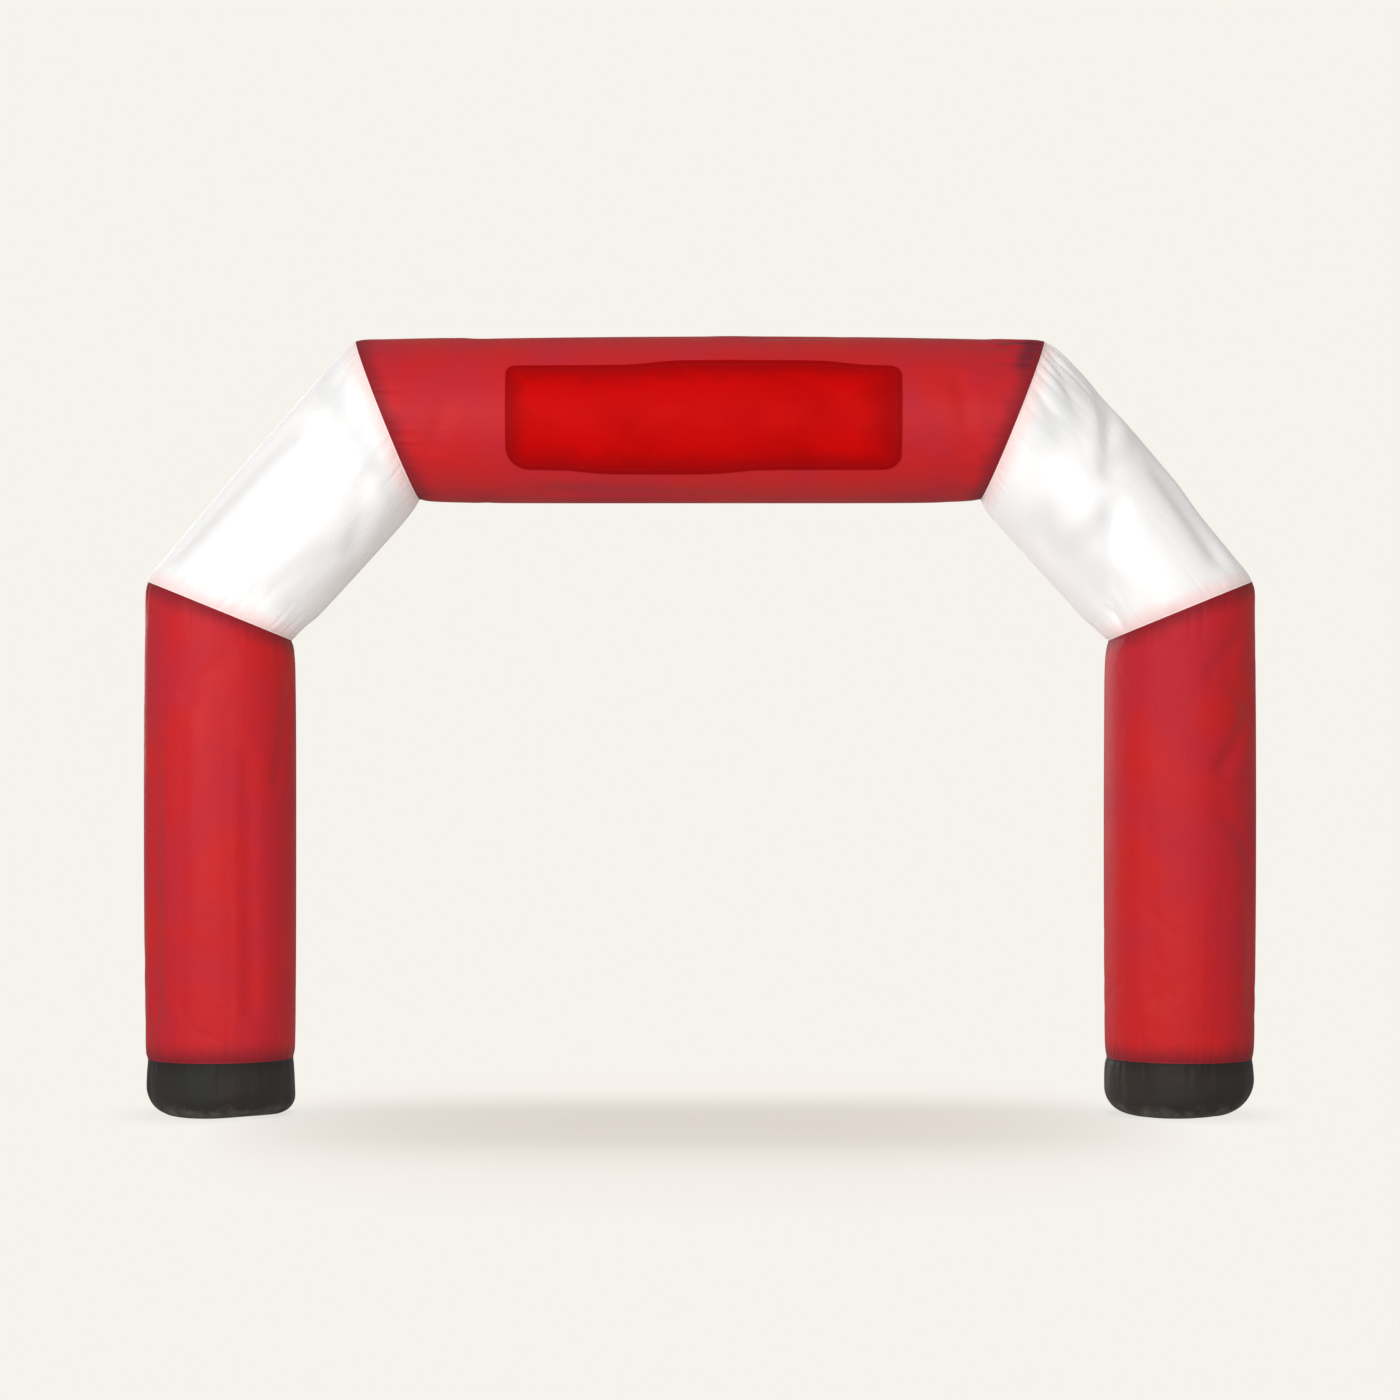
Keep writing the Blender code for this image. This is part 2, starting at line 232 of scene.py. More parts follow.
class Wiring:
    """A node tree while it is wired, from left to right."""

    def __init__(self, tree: bpy.types.NodeTree) -> None:
        """Starts on an empty or a new tree."""
        self.tree = tree

    def add(self, kind: str, inputs: dict[str | int, object], **settings: object) -> bpy.types.Node:
        """Adds a node and joins it to what is there.

        Args:
            kind: The node's type, without the prefix that they all share.
            inputs: For each input, the socket that feeds it or its own value.
            settings: The node's own settings by name.

        Returns:
            The new node.
        """
        node = self.tree.nodes.new("ShaderNode" + kind)
        for name, value in settings.items():
            setattr(node, name, value)
        self.feed(node, inputs)
        return node

    def feed(self, node: bpy.types.Node, inputs: dict[str | int, object]) -> None:
        """Feeds a node that is there already.

        Args:
            node: The node.
            inputs: For each input, the socket that feeds it or its own value.
        """
        for key, value in inputs.items():
            if isinstance(value, bpy.types.NodeSocket):
                self.tree.links.new(value, node.inputs[key])
            else:
                node.inputs[key].default_value = value

    def math(self, operation: str, *values: object) -> bpy.types.NodeSocket:
        """The result of a sum, product or other operation on numbers."""
        return self.add("Math", dict(enumerate(values)), operation=operation).outputs[0]

    def fit(self, value: bpy.types.NodeSocket, low: float, high: float) -> bpy.types.NodeSocket:
        """A value that rises softly from 0 at low to 1 at high."""
        inputs = {"Value": value, "From Min": low, "From Max": high}
        return self.add("MapRange", inputs, interpolation_type="SMOOTHSTEP").outputs["Result"]

    def mix(self, share: object, first: object, second: object) -> bpy.types.NodeSocket:
        """A colour between two colours."""
        return self.add("Mix", {0: share, 6: first, 7: second}, data_type="RGBA").outputs[2]


@dataclass(frozen=True)
class EffectSocket:
    """A named input or output of a shared effect."""

    name: str
    kind: str
    start: float = 0.0


class Effect:
    """An effect that several finishes share, as one node group that is built once."""

    name = ""
    takes: tuple[EffectSocket, ...] = ()
    gives: tuple[EffectSocket, ...] = ()

    def group(self) -> bpy.types.NodeTree:
        """The effect's node group, which is made at its first use.

        Returns:
            The node group.
        """
        tree = bpy.data.node_groups.get(self.name)
        if tree is None:
            tree = bpy.data.node_groups.new(self.name, "ShaderNodeTree")
            for side, sockets in (("INPUT", self.takes), ("OUTPUT", self.gives)):
                for socket in sockets:
                    made = tree.interface.new_socket(
                        name=socket.name, in_out=side, socket_type="NodeSocket" + socket.kind
                    )
                    if socket.kind == "Float":
                        made.default_value = socket.start
            wiring = Wiring(tree)
            start = tree.nodes.new("NodeGroupInput")
            end = tree.nodes.new("NodeGroupOutput")
            wiring.feed(end, self.wire(wiring, start.outputs))
        return tree

    def wire(self, wiring: Wiring, takes: object) -> dict[str, bpy.types.NodeSocket]:
        """Builds the effect.

        Args:
            wiring: The group's own tree.
            takes: The sockets that the group takes, by name.

        Returns:
            For each output's name, the socket that feeds it.
        """
        raise NotImplementedError

    def use(self, wiring: Wiring, inputs: dict[str, object]) -> bpy.types.Node:
        """Places the effect in a material with its own values."""
        return wiring.add("Group", inputs, node_tree=self.group())


class Weave(Effect):
    """Plain weave: threads that pass over and under each other, as a height from 0 to 1."""

    name = "plain_weave"
    takes = (EffectSocket("Map", "Vector"), EffectSocket("Threads", "Float", 1000.0))
    gives = (EffectSocket("Height", "Float"),)

    def wire(self, wiring: Wiring, takes: object) -> dict[str, bpy.types.NodeSocket]:
        """Two sets of rounded threads, lifted in turn like the squares of a board.

        Args:
            wiring: The group's own tree.
            takes: The sockets that the group takes, by name.

        Returns:
            The threads' height.
        """
        parts = wiring.add("SeparateXYZ", {0: takes["Map"]})
        turns = [wiring.math("MULTIPLY", parts.outputs[i], takes["Threads"]) for i in (0, 1)]
        angles = [wiring.math("MULTIPLY", turn, math.pi) for turn in turns]
        waves = [wiring.math("SINE", angle) for angle in angles]
        lift = wiring.math("MULTIPLY", waves[0], waves[1])
        rounds = [wiring.math("ABSOLUTE", wave) for wave in waves]
        threads = wiring.math("MAXIMUM", rounds[0], rounds[1])
        lifted = wiring.math("MULTIPLY_ADD", lift, 0.5, 0.5)
        return {"Height": wiring.math("MULTIPLY", threads, lifted)}


class Crinkle(Effect):
    """Fine crinkles of coated cloth: sharp little ridges between soft flats, longer one way."""

    name = "fine_crinkle"
    sharpness = 5.0
    ridge_height = 0.4
    takes = (
        EffectSocket("Place", "Vector"),
        EffectSocket("Size", "Float", 8.0),
        EffectSocket("Twist", "Float", 0.5),
    )
    gives = (EffectSocket("Height", "Float"),)

    def wire(self, wiring: Wiring, takes: object) -> dict[str, bpy.types.NodeSocket]:
        """Ridged noise on top of a softer noise that bends it.

        Args:
            wiring: The group's own tree.
            takes: The sockets that the group takes, by name.

        Returns:
            The crinkles' height.
        """
        soft = wiring.add("TexNoise", {"Vector": takes["Place"], "Scale": takes["Size"], "Detail": 2.0})
        pushed = wiring.add(
            "VectorMath", {0: soft.outputs["Color"], "Scale": takes["Twist"]}, operation="SCALE"
        )
        bent = wiring.add("VectorMath", {0: takes["Place"], 1: pushed.outputs[0]}, operation="ADD")
        ridged = wiring.add(
            "TexNoise", {"Vector": bent.outputs[0], "Scale": takes["Size"], "Detail": 3.0}
        )
        middle = wiring.math("SUBTRACT", ridged.outputs["Fac"], 0.5)
        valley = wiring.math("ABSOLUTE", middle)
        ridge = wiring.math("SUBTRACT", 1.0, wiring.math("MULTIPLY", valley, self.sharpness))
        sharp = wiring.math("MAXIMUM", ridge, 0.0)
        height = wiring.math("MULTIPLY_ADD", sharp, self.ridge_height, soft.outputs["Fac"])
        return {"Height": height}


class Blotch(Effect):
    """Slow changes of shade, where cloth has faded, been handled or dried unevenly."""

    name = "uneven_shade"
    noise_range = (0.34, 0.66)
    takes = (EffectSocket("Place", "Vector"), EffectSocket("Size", "Float", 3.0))
    gives = (EffectSocket("Share", "Float"),)

    def wire(self, wiring: Wiring, takes: object) -> dict[str, bpy.types.NodeSocket]:
        """Slow noise with a finer one in it, stretched to the whole range.

        Args:
            wiring: The group's own tree.
            takes: The sockets that the group takes, by name.

        Returns:
            The share of the other shade.
        """
        slow = wiring.add("TexNoise", {"Vector": takes["Place"], "Scale": takes["Size"], "Detail": 4.0})
        return {"Share": wiring.fit(slow.outputs["Fac"], *self.noise_range)}


class DoubledAndShade(Effect):
    """The band beside a seam where the turned-in edge lies double, darker partly as painted shade of
    the seam's valley, with a softer band of painted shade over it.
    """

    name = "doubled_cloth_and_seam_shade"
    band_edge = (1.12, 0.88)
    takes = (
        EffectSocket("Distance", "Float"),
        EffectSocket("Width", "Float", 0.03),
        EffectSocket("Reach", "Float", 0.06),
        EffectSocket("Place", "Vector"),
    )
    gives = (EffectSocket("Share", "Float"), EffectSocket("Painted Shade", "Float"))

    def wire(self, wiring: Wiring, takes: object) -> dict[str, bpy.types.NodeSocket]:
        """A clear band as wide as the turned-in edge, and a softer, uneven band of painted shade over
        it.

        Args:
            wiring: The group's own tree.
            takes: The sockets that the group takes, by name.

        Returns:
            The share of the band where the cloth lies double, and that of painted shade.
        """
        ratio = wiring.math("DIVIDE", takes["Distance"], takes["Width"])
        band = wiring.fit(ratio, *self.band_edge)
        noise = wiring.add("TexNoise", {"Vector": takes["Place"], "Scale": 9.0, "Detail": 3.0})
        far = wiring.math("DIVIDE", takes["Distance"], takes["Reach"])
        uneven = wiring.math("MULTIPLY", far, wiring.math("ADD", noise.outputs["Fac"], 0.5))
        return {"Share": band, "Painted Shade": wiring.fit(uneven, 1.0, 0.0)}


class Scuff(Effect):
    """Dust and scuffs that rise from the ground."""

    name = "ground_dust"
    most_at_ground = 1.25
    noise_range = (0.30, 0.75)
    takes = (EffectSocket("Place", "Vector"), EffectSocket("Reach", "Float", 0.12))
    gives = (EffectSocket("Share", "Float"),)

    def wire(self, wiring: Wiring, takes: object) -> dict[str, bpy.types.NodeSocket]:
        """Noise that fades with the height above the ground.

        Args:
            wiring: The group's own tree.
            takes: The sockets that the group takes, by name.

        Returns:
            The share of dust.
        """
        height = wiring.add("SeparateXYZ", {0: takes["Place"]}).outputs[2]
        noise = wiring.add(
            "TexNoise", {"Vector": takes["Place"], "Scale": 14.0, "Detail": 6.0, "Roughness": 0.65}
        )
        fade = wiring.math("DIVIDE", height, takes["Reach"])
        left = wiring.math("SUBTRACT", self.most_at_ground, fade)
        share = wiring.math("MULTIPLY", left, noise.outputs["Fac"])
        return {"Share": wiring.fit(share, *self.noise_range)}


WEAVE, CRINKLE, BLOTCH, DOUBLED_AND_SHADE, SCUFF = Weave(), Crinkle(), Blotch(), DoubledAndShade(), Scuff()

Colour = tuple[float, float, float, float]


@dataclass(frozen=True)
class Finish:
    """What a surface is made of, as a material that is built once."""

    name: str

    def material(self) -> bpy.types.Material:
        """The finish's material, which is made at its first use.

        Returns:
            The material.
        """
        made = bpy.data.materials.get(self.name)
        if made is None:
            made = bpy.data.materials.new(self.name)
            made.use_nodes = True
            self._wire(Wiring(made.node_tree), made.node_tree.nodes["Principled BSDF"])
        return made

    def _wire(self, wiring: Wiring, shader: bpy.types.Node) -> None:
        """Feeds the shader's inputs from the finish's values."""
        raise NotImplementedError


@dataclass(frozen=True)
class ClothFinish(Finish):
    """A coated, woven cloth.

    Its shade changes slowly over the surface, its seams show a band where the cloth lies double under
    painted shade, strokes of painted shade lie over its folds where a tube gives them, and threads
    and fine crinkles stand in its bump.
    """

    slot: str
    colour: Colour
    shade: Colour
    doubled_and_seam_shade: Colour
    roughness: float
    sheen: float
    gloss: float = 0.20
    double_width: float = 0.030
    double_share: float = 0.60
    # How far the painted shade beside a seam reaches, and how strong it is.
    seam_shade_reach: float = 0.085
    seam_shade_share: float = 0.85
    shade_size: float = 2.2
    threads: float = 1300.0
    thread_depth: float = 0.000028
    crinkle_depth: float = 0.0022
    crinkle_size: float = 7.0
    crinkle_stretch: float = 0.55
    sheen_roughness: float = 0.80
    roughness_range: float = 0.09
    dust: float = 0.0
    dust_reach: float = 0.13
    dust_roughness: float = 0.2
    # The colour of the painted shade that strokes lay over the folds, where a tube gives strokes.
    painted_stroke_shade: Colour | None = None

    def _wire(self, wiring: Wiring, shader: bpy.types.Node) -> None:
        """Feeds the shader's colour, roughness and normal.

        Args:
            wiring: The material's tree.
            shader: Its shader.
        """
        place = wiring.add("TexCoord", {}).outputs["Object"]
        cloth_map = wiring.add("UVMap", {}, uv_map=CLOTH_MAP).outputs[0]
        distance = wiring.add("Attribute", {}, attribute_name=SEAM_DISTANCE).outputs["Fac"]
        shade = BLOTCH.use(wiring, {"Place": place, "Size": self.shade_size}).outputs["Share"]
        seam = DOUBLED_AND_SHADE.use(
            wiring,
            {
                "Distance": distance,
                "Width": self.double_width,
                "Reach": self.seam_shade_reach,
                "Place": place,
            },
        )
        plain = wiring.mix(shade, self.colour, self.shade)
        # The band where the cloth lies double is darker, partly for the double layer and partly as
        # painted shade of the seam's valley, and a softer, uneven band of painted shade lies over it.
        darker = wiring.math("MULTIPLY", seam.outputs["Share"], self.double_share)
        seam_shade = wiring.math("MULTIPLY", seam.outputs["Painted Shade"], self.seam_shade_share)
        # Strokes of painted shade over the folds, where the tube has stored them.
        if self.painted_stroke_shade:
            shade_strokes = wiring.add("Attribute", {}, attribute_name=PAINTED_STROKE_SHADE).outputs["Fac"]
            plain = wiring.mix(shade_strokes, plain, self.painted_stroke_shade)
        colour = wiring.mix(wiring.math("MAXIMUM", darker, seam_shade), plain, self.doubled_and_seam_shade)
        smoothest = self.roughness - self.roughness_range / 2
        rough = wiring.math("MULTIPLY_ADD", shade, self.roughness_range, smoothest)
        if self.dust:
            dust = SCUFF.use(wiring, {"Place": place, "Reach": self.dust_reach}).outputs["Share"]
            dusty = wiring.math("MULTIPLY", dust, self.dust)
            colour = wiring.mix(dusty, colour, DUST_COLOUR)
            rough = wiring.math("MULTIPLY_ADD", dust, self.dust_roughness, rough)
        scale = (1.0, self.crinkle_stretch, 1.0)
        stretched = wiring.add("Mapping", {"Vector": cloth_map, "Scale": scale})
        crinkle = CRINKLE.use(wiring, {"Place": stretched.outputs[0], "Size": self.crinkle_size})
        weave = WEAVE.use(wiring, {"Map": cloth_map, "Threads": self.threads})
        folded = wiring.add(
            "Bump", {"Height": crinkle.outputs["Height"], "Distance": self.crinkle_depth}
        )
        woven = wiring.add(
            "Bump",
            {
                "Height": weave.outputs["Height"],
                "Distance": self.thread_depth,
                "Normal": folded.outputs["Normal"],
            },
        )
        wiring.feed(
            shader,
            {
                "Base Color": colour,
                "Roughness": rough,
                "Normal": woven.outputs["Normal"],
                "Sheen Weight": self.sheen,
                "Sheen Roughness": self.sheen_roughness,
                "Specular IOR Level": self.gloss,
            },
        )


DUST_COLOUR: Colour = (0.30, 0.27, 0.24, 1.0)

RED = ClothFinish(
    name="red_coated_cloth",
    slot="red_cloth",
    colour=(0.512, 0.010, 0.012, 1.0),
    shade=(0.455, 0.012, 0.024, 1.0),
    doubled_and_seam_shade=(0.200, 0.009, 0.016, 1.0),
    roughness=0.54,
    sheen=0.02,
    gloss=0.12,
    double_width=0.046,
    seam_shade_reach=0.120,
    painted_stroke_shade=(0.085, 0.010, 0.030, 1.0),
)
WHITE = ClothFinish(
    name="white_coated_cloth",
    slot="white_cloth",
    colour=(0.915, 0.915, 0.920, 1.0),
    shade=(0.860, 0.865, 0.880, 1.0),
    doubled_and_seam_shade=(0.930, 0.560, 0.540, 1.0),
    roughness=0.42,
    sheen=1.0,
    gloss=0.30,
    double_width=0.050,
    double_share=0.42,
    seam_shade_reach=0.125,
    seam_shade_share=0.80,
    thread_depth=0.000012,
    painted_stroke_shade=(0.700, 0.705, 0.720, 1.0),
)
BLACK = ClothFinish(
    name="black_coated_cloth",
    slot="black_cloth",
    colour=(0.024, 0.016, 0.014, 1.0),
    shade=(0.016, 0.017, 0.014, 1.0),
    doubled_and_seam_shade=(0.010, 0.008, 0.008, 1.0),
    roughness=0.60,
    sheen=0.03,
    gloss=0.16,
    threads=900.0,
    thread_depth=0.00008,
    crinkle_depth=0.0030,
    dust=0.30,
)
BANNER = ClothFinish(
    name="plain_banner_cloth",
    slot="panel_cloth",
    colour=(0.520, 0.001, 0.001, 1.0),
    shade=(0.440, 0.0005, 0.0005, 1.0),
    doubled_and_seam_shade=(0.265, 0.001, 0.002, 1.0),
    roughness=0.60,
    sheen=0.0,
    gloss=0.04,
    double_width=0.034,
    double_share=0.45,
    seam_shade_reach=0.150,
    seam_shade_share=0.80,
    threads=1600.0,
    crinkle_depth=0.0012,
    crinkle_size=9.0,
)


@dataclass(frozen=True)
class ThreadFinish(Finish):
    """Sewing thread: a plain colour with painted shade of the twist's grooves, following the noise of
    its bump.
    """

    colour: Colour
    roughness: float = 0.55
    twist_scale: float = 900.0
    twist_depth: float = 0.0002
    groove_painted_shade: float = 0.6

    def _wire(self, wiring: Wiring, shader: bpy.types.Node) -> None:
        """Feeds the shader's colour and normal.

        Args:
            wiring: The material's tree.
            shader: Its shader.
        """
        place = wiring.add("TexCoord", {}).outputs["Object"]
        noise = wiring.add("TexNoise", {"Vector": place, "Scale": self.twist_scale, "Detail": 1.0})
        # The darker colour is painted shade of the twist's grooves.
        darker = tuple(value * self.groove_painted_shade for value in self.colour[:3]) + (1.0,)
        colour = wiring.mix(noise.outputs["Fac"], self.colour, darker)
        bump = wiring.add("Bump", {"Height": noise.outputs["Fac"], "Distance": self.twist_depth})
        normal = bump.outputs["Normal"]
        wiring.feed(shader, {"Base Color": colour, "Roughness": self.roughness, "Normal": normal})


RED_THREAD = ThreadFinish("red_thread", (0.300, 0.012, 0.018, 1.0))
WHITE_THREAD = ThreadFinish("white_thread", (0.740, 0.730, 0.720, 1.0))
BLACK_THREAD = ThreadFinish("black_thread", (0.050, 0.045, 0.045, 1.0))


def dress(piece: bpy.types.Object, finish: Finish) -> None:
    """Gives the whole piece one finish."""
    piece.data.materials.clear()
    piece.data.materials.append(finish.material())


# ---------------------------------------------------------------------------------------------
# The cloth's form
# ---------------------------------------------------------------------------------------------


class Draws(IntEnum):
    """What is drawn at random on a piece: each kind starts this far after the piece's seed."""

    LOWER_GATHERS = 0
    UPPER_GATHERS = 1
    FOOT_CREASES = 3
    WRINKLES = 5
    LOWER_PUCKERS = 7
    UPPER_PUCKERS = 8


@dataclass(frozen=True)
class Seam:
    """A sewn ring that two pieces share.

    Attributes:
        outer: Its corner on the outer side of the arch, as x and z.
        inner: Its corner on the inner side.
        half_depth: Half its size along Y.
        draw_outer: How far the cloth is drawn in at the outer corner.
        draw_inner: How far it is drawn in at the inner corner.
    """

    outer: tuple[float, float]
    inner: tuple[float, float]
    half_depth: float
    draw_outer: float
    draw_inner: float

    @property
    def corners(self) -> tuple[np.ndarray, np.ndarray]:
        """The outer and the inner corner in space."""
        return tuple(np.array((corner[0], 0.0, corner[1])) for corner in (self.outer, self.inner))

    @property
    def middle(self) -> np.ndarray:
        """The middle of the ring."""
        outer, inner = self.corners
        return (outer + inner) / 2

    def draw_in(self, angle: np.ndarray) -> np.ndarray:
        """How far the cloth is drawn in at an angle."""
        outside = (1 + np.sin(angle)) / 2
        return self.draw_inner + (self.draw_outer - self.draw_inner) * outside

    def points(self, angle: np.ndarray) -> np.ndarray:
        """The ring's points at these angles, one row each.

        Args:
            angle: Angles round the ring.

        Returns:
            A row of x, y and z for each angle.
        """
        outer, inner = self.corners
        half = (outer - inner) / 2
        length = np.linalg.norm(half)
        inset = self.draw_in(angle)[:, None]
        across = half / length * (length - inset) * np.sin(angle)[:, None]
        deep = FRONT * (self.half_depth - inset) * np.cos(angle)[:, None]
        return self.middle + across + deep


@dataclass(frozen=True)
class Gather:
    """A valley that runs from a seam into the cloth."""

    angle: float
    reach: float
    spread: float


@dataclass(frozen=True)
class Gathering:
    """How the cloth is gathered round a seam: few main gathers, and finer ones between them."""

    rise: float = 0.024
    main: int = 15
    main_spread: float = math.radians(7.0)
    main_shortest: float = 0.03
    main_longest: float = 0.26
    main_shares: tuple[float, float] = (0.3, 1.0)
    fine: int = 46
    fine_spread: float = math.radians(1.9)
    fine_shortest: float = 0.01
    fine_longest: float = 0.11
    fine_shares: tuple[float, float] = (0.2, 1.0)
    fine_widths: tuple[float, float] = (0.7, 1.4)
    crowding: float = 0.40
    scatter: float = 0.30

    def draw(self, seam: Seam, seed: int) -> list[Gather]:
        """The gathers of one seam.

        Args:
            seam: The sewn ring. Gathers lie closer and reach further where it is drawn in more.
            seed: Where the random draws start.

        Returns:
            The main gathers, then the fine ones.
        """
        draws = random.Random(seed)
        most = max(seam.draw_outer, seam.draw_inner)
        lean = self.crowding * (seam.draw_inner - seam.draw_outer) / most
        made = []
        for number in range(self.main):
            angle = self._angle(draws, number, self.main, lean)
            deep = float(seam.draw_in(np.array(angle))) / DRAW_IN_INNER
            share = draws.uniform(*self.main_shares) * deep
            reach = self.main_shortest + (self.main_longest - self.main_shortest) * share
            made.append(Gather(angle, reach, self.main_spread))
        for number in range(self.fine):
            angle = self._angle(draws, number, self.fine, lean)
            share = draws.uniform(*self.fine_shares) ** 2
            reach = self.fine_shortest + (self.fine_longest - self.fine_shortest) * share
            spread = self.fine_spread * draws.uniform(*self.fine_widths)
            made.append(Gather(angle, reach, spread))
        return made

    def _angle(self, draws: random.Random, number: int, count: int, lean: float) -> float:
        """Where one gather of so many lies: scattered, and closer where the ring is drawn in."""
        step = number + draws.uniform(-self.scatter, self.scatter)
        even = math.tau * step / count - math.pi
        return even - lean * math.cos(even)

    def rise_length(self, angle: np.ndarray, gathers: list[Gather]) -> np.ndarray:
        """How far from the seam the cloth reaches its full size: further in a gather.

        Args:
            angle: The places' angles round the ring.
            gathers: The ring's gathers.

        Returns:
            A length for each place.
        """
        pull = np.zeros_like(angle)
        for gather in gathers:
            turn = turn_between(gather.angle, angle) / gather.spread
            pull += gather.reach * np.exp(-(turn**2))
        return self.rise + pull


@dataclass(frozen=True)
class Crease:
    """A soft trough from one place to another, or a ridge where its depth is negative.

    Angles are in degrees, and distances run up from the lower seam's middle, or from the left
    seam's middle on the beam. A crease fades towards its far end.
    """

    from_angle: float
    from_along: float
    to_angle: float
    to_along: float
    width: float
    depth: float

    def press(self, angle: np.ndarray, along: np.ndarray, radius: float) -> np.ndarray:
        """How far the crease moves the cloth outwards at each place.

        Args:
            angle: The places' angles round the tube.
            along: Their distances along it.
            radius: The tube's radius.

        Returns:
            A length for each place.
        """
        start = math.radians(self.from_angle)
        across = radius * turn_between(start, angle)
        ahead = along - self.from_along
        sweep = radius * math.radians(self.to_angle - self.from_angle)
        length = self.to_along - self.from_along
        share = np.clip((across * sweep + ahead * length) / (sweep**2 + length**2), 0.0, 1.0)
        off = np.hypot(across - sweep * share, ahead - length * share)
        return -self.depth * (1 - CREASE_FADE * share) * np.exp(-((off / self.width) ** 2))


@dataclass(frozen=True)
class Pucker:
    """A short dent across a seam, deepest a little way into the cloth.

    Its angle is in degrees. Its depth is negative for a dent that stands proud.
    """

    angle: float
    reach: float
    width: float
    depth: float

    def press(self, angle: np.ndarray, distance: np.ndarray) -> np.ndarray:
        """How far the pucker moves the cloth outwards.

        Args:
            angle: The places' angles round the tube.
            distance: Their distances from the seam.

        Returns:
            A length for each place.
        """
        across = turn_between(math.radians(self.angle), angle) * LEG_DIAMETER / 2
        ahead = np.maximum(distance, 0) / (PUCKER_PEAK * self.reach)
        return -self.depth * np.exp(-((across / self.width) ** 2)) * ahead * np.exp(1 - ahead)


# The main creases. In each row: the angle and distance where it starts, where it ends, its width
# and its depth.
LEG_LEFT_CREASES = (
    Crease(21, 0.20, 20, 1.75, 0.020, 0.0034),
    Crease(11, 0.35, 12, 1.95, 0.016, -0.0024),
    Crease(-2, 0.15, -1, 1.40, 0.018, 0.0030),
    Crease(-17, 0.30, -15, 1.85, 0.022, 0.0038),
    Crease(34, 0.55, 33, 2.10, 0.020, -0.0030),
    Crease(49, 0.25, 47, 1.65, 0.058, 0.019),
    Crease(-33, 0.28, -30, 1.60, 0.060, 0.018),
    Crease(2, 0.70, 5, 1.70, 0.080, -0.008),
    Crease(16, 1.95, -14, 2.14, 0.055, 0.012),
    Crease(-58, 1.50, -74, 2.00, 0.055, 0.014),
    Crease(150, 0.40, 158, 1.70, 0.055, 0.020),
    Crease(-152, 0.60, -140, 1.90, 0.055, 0.019),
)
LEG_RIGHT_CREASES = (
    Crease(-12, 0.25, -10, 1.30, 0.020, 0.0030),
    Crease(8, 0.30, 9, 1.05, 0.018, -0.0026),
    Crease(24, 0.15, 23, 0.95, 0.020, 0.0032),
    Crease(54, 1.10, 22, 1.34, 0.055, 0.020),
    Crease(24, 1.56, 48, 1.80, 0.052, 0.022),
    Crease(60, 1.86, 30, 2.02, 0.052, 0.021),
    Crease(16, 2.06, 40, 2.26, 0.050, 0.013),
    Crease(60, 0.30, 57, 0.95, 0.062, 0.012),
    Crease(-28, 0.35, -34, 1.25, 0.065, 0.010),
    Crease(-155, 0.35, -160, 1.50, 0.055, 0.019),
    Crease(146, 0.90, 132, 2.00, 0.054, 0.020),
)
SHOULDER_LEFT_CREASES = (
    Crease(57, 0.12, 46, 0.98, 0.088, 0.028),
    Crease(-22, 0.12, -42, 0.60, 0.074, 0.026),
    Crease(-26, 1.06, -56, 0.74, 0.078, 0.022),
    Crease(48, 1.44, 24, 1.16, 0.052, 0.016),
    Crease(-112, 0.20, -68, 0.20, 0.075, 0.024),
    Crease(140, 0.20, 128, 1.05, 0.056, 0.026),
    Crease(-150, 0.15, -128, 0.75, 0.056, 0.025),
)
SHOULDER_RIGHT_CREASES = (
    Crease(74, 1.12, 20, 0.83, 0.062, 0.052),
    Crease(-58, 0.20, 2, 0.64, 0.078, 0.062),
    Crease(47, 0.12, 58, 0.62, 0.080, 0.028),
    Crease(4, 1.40, 30, 1.14, 0.085, 0.034),
    Crease(-26, 1.02, -60, 0.70, 0.056, 0.016),
    Crease(90, 1.46, 86, 0.55, 0.160, -0.032),
    Crease(58, 1.52, 38, 1.22, 0.048, 0.026),
    Crease(24, 1.42, 10, 1.16, 0.045, 0.020),
    Crease(-112, 0.20, -68, 0.20, 0.075, 0.024),
    Crease(132, 1.15, 150, 0.45, 0.056, 0.027),
    Crease(-140, 0.15, -160, 0.70, 0.056, 0.024),
)
# Painted shade in strokes, where the folds and the bunched seam lie in shadow: a depth of -1 stands for
# most of the shade.
SHOULDER_LEFT_SHADE_STROKES = (
    Crease(52, 0.12, 42, 0.95, 0.070, -0.9),
    Crease(56, 1.30, 40, 1.22, 0.070, -0.8),
    Crease(38, 1.27, 8, 1.20, 0.070, -1.1),
    Crease(2, 1.205, -63, 1.05, 0.060, -1.1),
    Crease(-42, 0.32, -58, 0.92, 0.110, -1.1),
)
SHOULDER_RIGHT_SHADE_STROKES = (
    Crease(46, 1.28, 0, 1.18, 0.115, -1.5),
    Crease(72, 0.88, 22, 0.84, 0.058, -1.2),
    Crease(56, 0.56, 45, 0.18, 0.072, -1.2),
    Crease(-42, 0.86, -40, 0.42, 0.100, -1.2),
    Crease(-36, 0.66, -8, 0.67, 0.055, -1.2),
)
